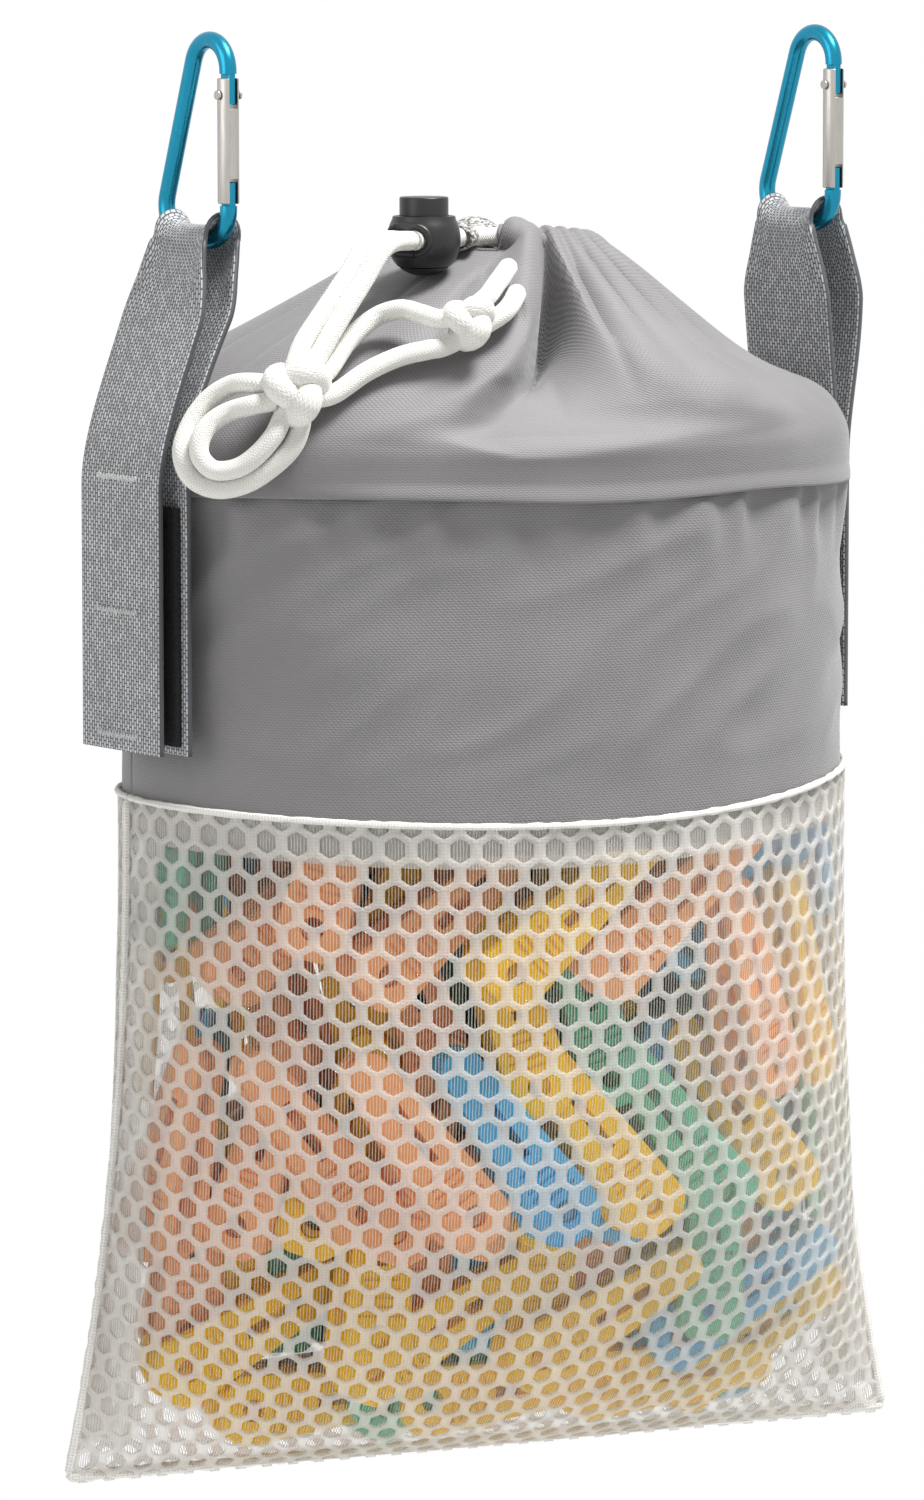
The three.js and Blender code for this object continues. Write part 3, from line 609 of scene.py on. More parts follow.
PEG_PLASTIC = {
    colour: MouldedPlastic(f"{colour.label}_polypropylene", face, hollow, 0.45, depth=0.02 * MM)
    for colour, face, hollow in (
        (PegColour.YELLOW, "FFD206", "FBC500"),
        (PegColour.PEACH, "FFB87E", "F8AA6C"),
        (PegColour.GREEN, "66C2A2", "58B292"),
        (PegColour.BLUE, "55BAEC", "48AAE0"),
    )
}


# Mesh tools

# Degrees by which an edge has to turn to stay sharp, on soft pieces and on carved ones
SOFT = 40.0
CARVED = 35.0
# The least radius of a swept end, in metres, which keeps its faces apart
POINTED = 1e-5


def spot(x: float, y: float, z: float) -> Vector:
    """A point given in millimetres, in metres."""
    return Vector((x, y, z)) * MM


def make_piece(
    bm: BMesh,
    name: str,
    finish: Finish,
    body: str,
    slot: str,
    replaces: Sequence[str] = (),
    sharp: float = SOFT,
) -> Object:
    """Turns a bmesh into a finished piece of the object.

    Args:
        bm: The shape in the part's frame; it is freed.
        name: The piece's name.
        finish: What it is made of.
        body: The body that it rides on.
        slot: The record's material slot.
        replaces: The solids that it stands for.
        sharp: Edges that turn by more than this many degrees stay sharp.

    Returns:
        The new object.
    """
    mesh = bpy.data.meshes.new(name)
    bm.to_mesh(mesh)
    bm.free()
    mesh.shade_smooth()
    mesh.set_sharp_from_angle(angle=math.radians(sharp))
    mesh.materials.append(finish.material())
    piece = bpy.data.objects.new(name, mesh)
    bpy.context.scene.collection.objects.link(piece)
    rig.ride(piece, body)
    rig.slot(piece, slot)
    if replaces:
        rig.replaces(piece, *replaces)
    LOG.info("%s: %d faces on %s", name, len(mesh.polygons), body)
    return piece


def dress_node(name: str, finish: Finish) -> Object:
    """Gives a solid that stays its real material.

    Args:
        name: The solid's node.
        finish: What it is made of.

    Returns:
        The solid.
    """
    node = next(o for o in bpy.data.objects if o.get("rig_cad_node") == name)
    for slot in node.material_slots:
        slot.material = finish.material()
    LOG.info("%s: kept, %s", name, finish.name)
    return node


def thicken(piece: Object, thickness: float) -> None:
    """Gives a sheet its thickness, inwards."""
    modifier = piece.modifiers.new("thickness", "SOLIDIFY")
    modifier.thickness, modifier.offset = thickness, -1.0


def soften(piece: Object, width: float) -> None:
    """Rounds the sharp edges of a carved piece.

    Args:
        piece: The piece.
        width: How wide the rounding is, in metres.
    """
    modifier = piece.modifiers.new("edges", "BEVEL")
    modifier.width = width
    modifier.segments = 2
    modifier.limit_method = "ANGLE"
    modifier.angle_limit = math.radians(SOFT)


def sheet_mesh(columns: int, rows: int, place: Place, flat: Pair, ring: bool = False) -> BMesh:
    """Bends a flat grid into a sheet.

    Args:
        columns: Faces across.
        rows: Faces along.
        place: Gives the point for shares across and along, each from 0 to 1.
        flat: The flat width and length, for the pattern map.
        ring: True where the sheet closes on itself across.

    Returns:
        The sheet with its flat map.
    """
    bm = bmesh.new()
    flat_map = bm.loops.layers.uv.new(FLAT_MAP)
    bmesh.ops.create_grid(bm, x_segments=columns, y_segments=rows, size=0.5)
    for face in bm.faces:
        for loop in face.loops:
            point = loop.vert.co
            loop[flat_map].uv = ((point.x + 0.5) * flat[0], (point.y + 0.5) * flat[1])
    for vert in bm.verts:
        vert.co = place(vert.co.x + 0.5, vert.co.y + 0.5)
    if ring:
        bmesh.ops.remove_doubles(bm, verts=bm.verts, dist=1e-6)
    return bm


class Route:
    """A smooth line through points, with a frame at every place that doesn't twist."""

    def __init__(self, points: Sequence[Vector], fineness: int = 1) -> None:
        """Draws the line.

        Args:
            points: The points that it goes through.
            fineness: Steps between two of them.
        """
        ends = [2 * points[0] - points[1], *points, 2 * points[-1] - points[-2]]
        self.line: list[Vector] = [points[0].copy()]
        for before, start, end, after in zip(ends, ends[1:], ends[2:], ends[3:]):
            leave, arrive = start + (end - before) / 6, end - (after - start) / 6
            self.line += interpolate_bezier(start, leave, arrive, end, fineness + 1)[1:]
        self.places = lengths_along(self.line)
        self.length = self.places[-1]
        self._lay_frames()

    def _lay_frames(self) -> None:
        """Works out a tangent and a side direction at every point of the line."""
        count = len(self.line)
        self.tangents = [
            (self.line[min(count - 1, i + 1)] - self.line[max(0, i - 1)]).normalized() for i in range(count)
        ]
        side = self.tangents[0].orthogonal().normalized()
        self.sides = []
        for tangent in self.tangents:
            side = (side - tangent * side.dot(tangent)).normalized()
            self.sides.append(side)

    def frame(self, share: float) -> tuple[Vector, Vector, Vector]:
        """Finds a place on the line.

        Args:
            share: How far along its length.

        Returns:
            The point, the way along and the way aside.
        """
        index, part = locate(self.places, limit(share) * self.length)
        tangent = self.tangents[index].lerp(self.tangents[index + 1], part).normalized()
        side = self.sides[index].lerp(self.sides[index + 1], part)
        side = (side - tangent * side.dot(tangent)).normalized()
        return self.line[index].lerp(self.line[index + 1], part), tangent, side


def sweep(
    route: Route,
    radius: Callable[[float], float],
    sides: int = 18,
    step: float = 1.2 * MM,
    rounded: bool = True,
) -> BMesh:
    """Sweeps a round section along a route.

    Args:
        route: The line that it follows.
        radius: The section's radius at a share of the length.
        sides: Faces round the section.
        step: Length of a face along the route.
        rounded: True to close the ends with domes, else they are closed flat.

    Returns:
        The closed tube with its flat map.
    """
    rows = max(4, round(route.length / step))
    girth = 2 * math.pi * radius(0.5)

    def place(around: float, along: float) -> Vector:
        """A point of the tube."""
        point, tangent, side = route.frame(along)
        up = tangent.cross(side)
        size = radius(along)
        if rounded:
            end = min(along, 1 - along) * route.length
            size *= math.sqrt(max(0.0, 1 - max(0.0, 1 - end / size) ** 2))
        size = max(size, POINTED)
        angle = 2 * math.pi * around
        return point + side * (size * math.cos(angle)) + up * (size * math.sin(angle))

    bm = sheet_mesh(sides, rows, place, (girth, route.length), ring=True)
    bmesh.ops.holes_fill(bm, edges=bm.edges, sides=sides)
    bmesh.ops.recalc_face_normals(bm, faces=bm.faces)
    return bm


def join_meshes(parts: Sequence[BMesh]) -> BMesh:
    """Joins several shapes.

    Args:
        parts: The shapes; all but the first are freed.

    Returns:
        The first shape, with the others in it.
    """
    whole = parts[0]
    whole.loops.layers.uv.verify()
    for part in parts[1:]:
        mesh = bpy.data.meshes.new("part")
        part.to_mesh(mesh)
        part.free()
        whole.from_mesh(mesh)
        bpy.data.meshes.remove(mesh)
    return whole


def carve(bm: BMesh, cutters: Sequence[BMesh]) -> BMesh:
    """Cuts shapes out of another.

    Args:
        bm: The shape that stays; it is freed.
        cutters: The closed shapes that are taken away; they are freed.

    Returns:
        The carved shape.
    """
    objects = []
    for shape in (bm, join_meshes(cutters)):
        mesh = bpy.data.meshes.new("carving")
        shape.to_mesh(mesh)
        shape.free()
        holder = bpy.data.objects.new("carving", mesh)
        bpy.context.scene.collection.objects.link(holder)
        objects.append(holder)
    modifier = objects[0].modifiers.new("cut", "BOOLEAN")
    modifier.object = objects[1]
    modifier.operation = "DIFFERENCE"
    modifier.solver = "EXACT"
    modifier.use_self = True
    carved = bmesh.new()
    carved.from_object(objects[0], bpy.context.evaluated_depsgraph_get())
    for holder in objects:
        mesh = holder.data
        bpy.data.objects.remove(holder)
        bpy.data.meshes.remove(mesh)
    return carved


def round_edges(bm: BMesh, edges: Sequence[BMEdge], width: float, segments: int = 3) -> None:
    """Rounds edges off."""
    bmesh.ops.bevel(bm, geom=edges, offset=width, segments=segments, profile=0.5, affect="EDGES", material=-1)


def block(size: Sequence[float], centre: Sequence[float], round_off: float = 0.0) -> BMesh:
    """Makes a box.

    Args:
        size: Its size along each axis.
        centre: Its middle.
        round_off: How far its edges are rounded off.

    Returns:
        The box.
    """
    bm = bmesh.new()
    bmesh.ops.create_cube(bm, size=1.0, matrix=Matrix.LocRotScale(Vector(centre), None, Vector(size)))
    if round_off:
        round_edges(bm, bm.edges[:], round_off)
    return bm


def barrel(radius: float, length: float, matrix: Matrix, segments: int = 32, round_off: float = 0.0) -> BMesh:
    """Makes a cylinder.

    Args:
        radius: Its radius.
        length: Its length along its own Z.
        matrix: Where it goes.
        segments: Faces round it.
        round_off: How far its rims are rounded off.

    Returns:
        The cylinder.
    """
    bm = bmesh.new()
    bmesh.ops.create_cone(bm, cap_ends=True, segments=segments, radius1=radius, radius2=radius, depth=length)
    if round_off:
        rims = [edge for edge in bm.edges if abs(edge.verts[0].co.z - edge.verts[1].co.z) < 1e-9]
        round_edges(bm, rims, round_off)
    bm.transform(matrix)
    return bm


def lathe(profile: Sequence[Pair], segments: int) -> BMesh:
    """Turns a profile round Z.

    Args:
        profile: Radius and height of each point, from axis to axis.
        segments: Faces round it.

    Returns:
        The closed shape.
    """
    last = len(profile) - 1

    def place(around: float, along: float) -> Vector:
        """A point of the turned face."""
        radius, height = profile[round(along * last)]
        angle = 2 * math.pi * around
        return spot(radius * math.cos(angle), radius * math.sin(angle), height)

    bm = sheet_mesh(segments, last, place, (1.0, 1.0), ring=True)
    bmesh.ops.dissolve_degenerate(bm, edges=bm.edges, dist=1e-7)
    bmesh.ops.recalc_face_normals(bm, faces=bm.faces)
    return bm


def arc(centre: Pair, radius: float, start: float, end: float, steps: int) -> list[Pair]:
    """Points on a flat arc from one angle to another."""
    angles = [mix(start, end, i / steps) for i in range(steps + 1)]
    return [(centre[0] + radius * math.cos(a), centre[1] + radius * math.sin(a)) for a in angles]


def bend(start: Pair, pull: Pair, push: Pair, end: Pair) -> Curve:
    """Draws a flat cubic curve.

    Args:
        start: Where it starts.
        pull: The point that it sets out towards.
        push: The point that it arrives from.
        end: Where it ends.

    Returns:
        A function that gives the point at a share of the curve.
    """

    def at(share: float) -> Vector:
        """The point at a share of the curve."""
        rest = 1 - share
        weights = (rest**3, 3 * rest**2 * share, 3 * rest * share**2, share**3)
        return sum((Vector(p).to_3d() * w for p, w in zip((start, pull, push, end), weights)), Vector())

    return at


# The bag


@dataclass(frozen=True)
class BagForm:
    """The bag's outline in millimetres: an oval tube that closes to a flat bottom seam."""

    hem_z: float = -120.0
    net_top_z: float = -210.0
    bottom_z: float = -400.0
    half_width: float = 108.0
    half_depth: float = 74.0
    seam_half_width: float = 127.0
    flare: float = 2.2  # the power by which the net widens on its way down
    belly: float = 1.8  # a higher one keeps the net full for longer
    side_pinch: float = 0.9
    seam_gap: float = 0.15
    net: float = 0.9
    cloth: float = 0.8
    lap_gap: float = 0.3
    lap: float = 8.0
    top_climb: Pair = (4.0, 8.0)  # how far the net's top edge climbs at the left and the right seam
    girth_steps: int = 60
    drop_steps: int = 120

    def section(self, z: float) -> tuple[float, float, float]:
        """Gives the bag's outline at a height.

        Args:
            z: The height.

        Returns:
            Half-width, half-depth and side pinch.
        """
        below = 1 - limit((z - self.bottom_z) / (self.net_top_z - self.bottom_z))
        width = mix(self.half_width, self.seam_half_width, below**self.flare)
        depth = self.half_depth * (1 - below**3) ** (1 / self.belly)
        return width, depth, 1 + self.side_pinch * below**3

    def wall(self, wall: Wall, turn: float, z: float, offset: float = 0.0) -> Vector:
        """Finds a point of one wall.

        Args:
            wall: Front or back.
            turn: 0 at one side seam, 1 at the other, by angle.
            z: Height.
            offset: Distance out from the net's outer face.

        Returns:
            The point.
        """
        width, depth, pinch = self.section(z)
        seam = self.seam_gap + self.net * (pinch - 1) / self.side_pinch
        reach = max(0.0, depth + offset - seam) * math.sin(math.pi * turn) ** pinch
        x = wall.value * (width + offset) * math.cos(math.pi * turn)
        return Vector((x, wall.value * (seam + reach), z))

    @lru_cache(maxsize=None)
    def _girths(self, wall: Wall, z: float) -> list[float]:
        """Girth from the first side seam to each of many equal turns at a height."""
        return lengths_along([self.wall(wall, i / self.girth_steps, z) for i in range(self.girth_steps + 1)])

    def even(self, wall: Wall, share: float, z: float, offset: float = 0.0) -> Vector:
        """A point of one wall by an even share of its girth at a height, and its distance out."""
        turn = steps_before(self._girths(wall, round(z)), share)
        return self.wall(wall, turn, z, offset)

    @lru_cache(maxsize=None)
    def _drops(self) -> list[float]:
        """Length up the middle of a wall from the bottom seam to each of many heights, closer near it."""
        shares = [(i / self.drop_steps) ** 2 for i in range(self.drop_steps + 1)]
        heights = [mix(self.bottom_z, self.net_top_z, share) for share in shares]
        return lengths_along([self.wall(Wall.FRONT, 0.5, z) for z in heights])

    def net_point(self, wall: Wall, across: float, up: float, offset: float = 0.0) -> Vector:
        """Finds a point of the net, whose rows sag in the middle.

        Args:
            wall: Front or back.
            across: Even share of the girth.
            up: Even share of the panel's height.
            offset: Distance out from the net's outer face.

        Returns:
            The point.
        """
        middle = steps_before(self._drops(), up) ** 2
        share = mix(up, middle, math.sin(math.pi * limit(across)))
        z = mix(self.bottom_z, self.net_top_z, share)
        level = self.even(wall, across, z, offset)
        return self.even(wall, across, z + self.top_rise(level.x) * share**4, offset)

    def inside(self, x: float, z: float, short: float) -> float:
        """Distance from the middle plane to where a wall's inner face is, which is short of its outer one."""
        width, depth, pinch = self.section(z)
        return max(0.0, depth - short) * max(0.0, 1 - (x / (width - short)) ** 2) ** (pinch / 2)

    def top_rise(self, x: float) -> float:
        """How far the net's top edge climbs towards the side seams."""
        share = x / self.half_width
        return mix(*self.top_climb, (share + 1) / 2) * share**2


@dataclass
class NetPanels:
    """The net lower half: two knitted panels with honeycomb holes, their edges and seams."""

    form: BagForm
    width: float = 288.0
    height: float = 208.0
    pitch: float = 9.0
    row: float = 6.3
    hole: Pair = (2.8, 3.3)
    hole_area: float = 3.1  # of a hole that is 1 by 1 from its middle
    # A quarter of a hole: an upright side, and a sloping end that meets the next where the threads gather
    hole_corners = ((1, 0), (1, 0.5), (0.52, 0.79), (0, 1))
    threads: int = 5
    thread: float = 0.3
    thread_span: float = 1.6
    bulge: float = 1.6
    bulge_rate: float = 0.022
    bulge_start: Pair = (4.0, 40.0)  # heights above the bottom seam between which the pegs begin to push
    seam_strip: float = 14.0
    seam_inset: float = 0.004
    seam_heights: Pair = (0.06, 0.99)
    top_hem: float = 0.945
    inner_gap: float = 1.05
    inner_thickness: float = 0.25
    top_edge: float = 0.95
    bottom_seam: float = 1.7
    side_seam: float = 1.3
    seam_steps: int = 40
    top_steps: int = 48

    def _bulge(self, point: Vector) -> float:
        """How far pegs push the net out at a place."""
        rough = noise.noise(point * self.bulge_rate + Vector((3, 7, 1)))
        return self.bulge * max(0.0, rough) * ease(*self.bulge_start, point.z - self.form.bottom_z)

    def _on_wall(self, bm: BMesh, wall: Wall, offset: float) -> None:
        """Trims a flat net to the panel and lays it on the wall, with its flat map.

        Args:
            bm: The flat net.
            wall: Front or back.
            offset: Distance out from the net's outer face.
        """
        for corner, sign in (((0, 0, 0), -1), ((self.width, self.height, 0), 1)):
            for out in ((sign, 0, 0), (0, sign, 0)):
                whole = [*bm.verts, *bm.edges, *bm.faces]
                bmesh.ops.bisect_plane(bm, geom=whole, plane_co=corner, plane_no=out, clear_outer=True)
        flat_map = bm.loops.layers.uv.new(FLAT_MAP)
        for face in bm.faces:
            for loop in face.loops:
                loop[flat_map].uv = loop.vert.co.xy * MM
        for vert in bm.verts:
            shares = vert.co.x / self.width, vert.co.y / self.height
            lift = offset + self._bulge(self.form.net_point(wall, *shares))
            vert.co = self.form.net_point(wall, *shares, lift) * MM

    def _repeat(self, bm: BMesh) -> None:
        """Repeats one cell over the whole flat panel, every other row set over by half a cell.

        Args:
            bm: The cell.
        """
        columns = math.ceil(self.width / self.pitch) + 1
        pairs = math.ceil(self.height / (2 * self.row)) + 1
        beside, above, pair = (self.pitch, 0, 0), (self.pitch / 2, self.row, 0), (0, 2 * self.row, 0)
        for step, count in ((beside, columns), (above, 1), (pair, pairs)):
            bmesh.ops.spin(
                bm,
                geom=[*bm.verts, *bm.edges, *bm.faces],
                cent=(0, 0, 0),
                axis=(0, 0, 1),
                dvec=step,
                angle=0,
                steps=count,
                use_duplicate=True,
            )

    def _cell(self) -> BMesh:
        """Makes one flat cell.

        Returns:
            A hexagon with a tall six-sided hole.
        """
        bm = bmesh.new()
        bmesh.ops.create_circle(bm, cap_ends=True, segments=12, radius=1.0)
        inset = bmesh.ops.inset_region(bm, faces=bm.faces[:], thickness=0.3, use_boundary=True)
        ring = set(inset["faces"])
        bmesh.ops.delete(bm, geom=[face for face in bm.faces if face not in ring], context="FACES_ONLY")
        flat_side = math.cos(math.pi / 6)
        for vert in bm.verts:
            angle = math.atan2(vert.co.y, vert.co.x)
            across, up = math.cos(angle), math.sin(angle)
            step = round(angle / (math.pi / 6))
            if vert.co.length < 0.9:
                wide, tall = self.hole_corners[min(abs(step), 6 - abs(step))]
                x, y = self.hole[0] * wide, self.hole[1] * tall
                vert.co = (math.copysign(x, across), math.copysign(y, up), 0)
            else:
                # Every other vertex is a corner of the hexagon, and the rest are the middles of its sides
                reach = 1.0 if step % 2 else flat_side
                vert.co = (across * reach * self.pitch / 2 / flat_side, up * reach * self.row * 2 / 3, 0)
        return bm

    def _thread_cell(self) -> BMesh:
        """Makes the fine upright threads across one hole.

        Returns:
            Flat strips, each held in the strands at both its ends.
        """
        strips = []
        for i in range(self.threads):
            x = self.hole[0] * self.thread_span * ((i + 0.5) / self.threads - 0.5)
            reach = self.hole[1] * (1 - 0.5 * abs(x) / self.hole[0]) + self.thread
            bm = bmesh.new()
            bmesh.ops.create_grid(bm, x_segments=1, y_segments=1, size=0.5)
            bm.transform(Matrix.LocRotScale(Vector((x, 0, 0)), None, Vector((self.thread, 2 * reach, 1))))
            strips.append(bm)
        return join_meshes(strips)

    def build_panel(self, wall: Wall) -> Object:
        """Builds the panel itself.

        Args:
            wall: Front or back.

        Returns:
            The honeycomb.
        """
        bm = self._cell()
        self._repeat(bm)
        bmesh.ops.remove_doubles(bm, verts=bm.verts, dist=0.02)
        self._on_wall(bm, wall, 0.0)
        name = f"net_{wall.label}_honeycomb"
        piece = make_piece(bm, name, WHITE_NET, BAG, "white_net", [f"net_{wall.label}_panel"])
        thicken(piece, self.form.net * MM)
        return piece

    def build_threads(self, wall: Wall) -> Object:
        """Builds the threads across the holes of one panel.

        Args:
            wall: Front or back.

        Returns:
            All of its threads.
        """
        bm = self._thread_cell()
        self._repeat(bm)
        self._on_wall(bm, wall, -self.thread)
        piece = make_piece(bm, f"net_{wall.label}_threads", WHITE_THREAD, BAG, "white_net")
        thicken(piece, self.thread * MM)
        return piece

    def _edge(self, name: str, points: Sequence[Vector], radius: float) -> Object:
        """Builds an overlocked edge along a line: a soft roll of thread of uneven thickness.

        Args:
            name: The piece's name.
            points: The line.
            radius: Its mean radius.

        Returns:
            The edge.
        """
        route = Route([p * MM for p in points], fineness=2)

        def size(share: float) -> float:
            """The radius at a share of the length."""
            place = route.frame(share)[0] * (1 / MM)
            return radius * MM * (1 + 0.35 * noise.noise(place * 0.35))

        return make_piece(sweep(route, size, sides=10, step=1.5 * MM), name, WHITE_EDGE, BAG, "white_net")

    def _doubling(
        self, wall: Wall, name: str, faces: tuple[int, int], across: Pair, up: Pair, flat: Pair
    ) -> Object:
        """Builds a second layer of net inside a panel.

        Args:
            wall: Front or back.
            name: The end of its name.
            faces: Faces across and up.
            across: Shares of the girth that it goes between.
            up: Shares of the panel's height that it goes between.
            flat: Its flat size.

        Returns:
            The layer.
        """

        def place(share: float, rise: float) -> Vector:
            """A point of the layer."""
            return self.form.net_point(wall, mix(*across, share), mix(*up, rise), -self.inner_gap) * MM

        bm = sheet_mesh(*faces, place, (flat[0] * MM, flat[1] * MM))
        piece = make_piece(bm, f"net_{wall.label}_{name}", WHITE_NET, BAG, "white_net")
        thicken(piece, self.inner_thickness * MM)
        return piece

    def build_edges(self, wall: Wall) -> list[Object]:
        """Builds what edges one panel.

        Args:
            wall: Front or back.

        Returns:
            Its overlocked top edge, the hem behind that, and the seam allowance inside each side.
        """
        top_shares = (i / self.top_steps for i in range(self.top_steps + 1))
        top = [self.form.net_point(wall, share, 1.0, 0.1) for share in top_shares]
        edge = self._edge(f"net_{wall.label}_top_edge", top, self.top_edge)
        hem_flat = (self.width, (1 - self.top_hem) * self.height)
        hem = self._doubling(wall, "top_hem", (96, 4), (0.0, 1.0), (self.top_hem, 1.0), hem_flat)
        strip = self.seam_strip / self.width
        first = (self.seam_inset, self.seam_inset + strip)
        last = (1 - self.seam_inset - strip, 1 - self.seam_inset)
        strip_flat = (self.seam_strip, self.height)
        strips = [
            self._doubling(wall, f"{label}_seam_strip", (6, 60), across, self.seam_heights, strip_flat)
            for label, across in (("first", first), ("last", last))
        ]
        return [edge, hem, *strips]

    def build_seams(self) -> list[Object]:
        """Builds the seams that join the two panels.

        Returns:
            One along the bottom and one up each side.
        """
        form = self.form
        shares = [i / self.seam_steps for i in range(self.seam_steps + 1)]
        low = form.bottom_z + 1
        half = form.seam_half_width + 1
        bottom = [Vector((mix(-1, 1, share) * half, 0, low)) for share in shares]
        pieces = [self._edge("net_bottom_seam", bottom, self.bottom_seam)]
        for side in Side:
            top = form.net_top_z + form.top_rise(side.value * form.half_width)
            points = []
            for share in shares:
                z = mix(low, top, share)
                points.append(Vector((side.value * (form.section(z)[0] + 0.4), 0, z)))
            pieces.append(self._edge(f"net_{side.label}_seam", points, self.side_seam))
        return pieces

    def build(self) -> None:
        solid = 1 - self.hole_area * self.hole[0] * self.hole[1] / (self.pitch * self.row)
        flat = (self.width * MM, self.height * MM)
        seams = self.build_seams()
        for wall in Wall:
            panel = self.build_panel(wall)
            extras = [self.build_threads(wall), *self.build_edges(wall)]
            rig.sheet(
                panel,
                flat=flat,
                held="hung",
                rests_on=[f"upper_{wall.label}_cloth"],
                area=solid * flat[0] * flat[1],
                with_pieces=[*extras, *(seams if wall is Wall.FRONT else [])],
            )


@dataclass
class UpperCloth:
    """The grey cloth tube between the net and the hood, in two panels."""

    form: BagForm
    width: float = 286.0
    faces: tuple[int, int] = (140, 54)
    drags: float = 2.4
    creases: float = 2.6
    puckers: float = 0.8
    pucker_count: int = 34
    room: float = 9.0  # how far wrinkles may stand out below the hood's hem

    def _wrinkle(self, point: Vector) -> float:
        """Draws slanted drags and creases, and puckers under the hem.

        Args:
            point: A place on the tube.

        Returns:
            Height of the wrinkles there.
        """
        angle = math.atan2(point.y / self.form.half_depth, point.x / self.form.half_width)
        along = angle * 90
        drag = noise.noise(Vector((along * 0.018 + point.z * 0.012, point.z * 0.02 - along * 0.006, 4.2)))
        fine = noise.noise(Vector((along * 0.03 - point.z * 0.05, along * 0.02 + point.z * 0.012, 9.1)))
        wave = math.sin(self.pucker_count * angle + 3 * noise.noise(Vector((along * 0.05, 0, 2))))
        pucker = wave * ease(self.form.hem_z - 26, self.form.hem_z - 2, point.z)
        return self.drags * drag + self.creases * (-abs(fine) + 0.25) + self.puckers * pucker

    def build_panel(self, wall: Wall) -> None:
        """Args:
            wall: Front or back.
        """
        form = self.form
        low, high = form.net_top_z - form.lap, form.hem_z + form.lap
        inside = -form.net - form.lap_gap

        def place(across: float, up: float) -> Vector:
            """A point of the panel, smooth in both laps and at the side seams."""
            z = mix(low, high, up)
            point = form.even(wall, across, z, inside)
            free = ease(form.net_top_z + 8, form.net_top_z + 24, z) * ease(0, 0.03, min(across, 1 - across))
            room = mix(self.room, 0.0, ease(form.hem_z - 6, form.hem_z + 1, z))
            lift = min(room, self._wrinkle(point) * free)
            return form.even(wall, across, z, inside + lift) * MM

        flat = (self.width * MM, (high - low) * MM)
        name = f"upper_{wall.label}_cloth"
        bm = sheet_mesh(*self.faces, place, flat)
        piece = make_piece(bm, name, GREY_TWILL, BAG, "grey_cloth", [f"upper_{wall.label}_panel"])
        thicken(piece, form.cloth * MM)
        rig.sheet(piece, flat=flat, held="hung", rests_on=["hood_cloth"])

    def build(self) -> None:
        """Builds both panels."""
        for wall in Wall:
            self.build_panel(wall)


# The neck

# The angle at which the cord's two strands come out, and half of the mouth that the casing leaves for them
CORD_EXIT = math.radians(215)
MOUTH = 0.42
# How far the neck hangs lower, on the side away from the strands
NECK_LEAN = 8.0
# Where the neck's creases lie, in degrees round it; the folds stand between them
CREASES = (-180, -160, -141, -121, -92, -79, -67, -52, -33, -12, 8, 27, 41, 60, 82, 97, 118, 137, 155, 180)
# A fold that is this many degrees wide stands up in full
FULL_FOLD = 18


def gather(angle: float) -> float:
    """Draws the gathers of the neck.

    Args:
        angle: Turn round the neck.

    Returns:
        -1 in a sharp crease, up to 1 on a wide round fold.
    """
    degrees = math.degrees(turn_between(angle, 0.0))
    index = min(len(CREASES) - 2, bisect_right(CREASES, degrees) - 1)
    low, high = CREASES[index : index + 2]
    swell = math.sin(math.pi * (degrees - low) / (high - low)) ** 0.7
    return 2 * swell * min(1.0, (high - low) / FULL_FOLD) - 1


def neck_drop(angle: float) -> float:
    """How far the neck lies below its level: it leans back from where the cord comes out."""
    return NECK_LEAN / 2 * (1 - math.cos(angle - CORD_EXIT))


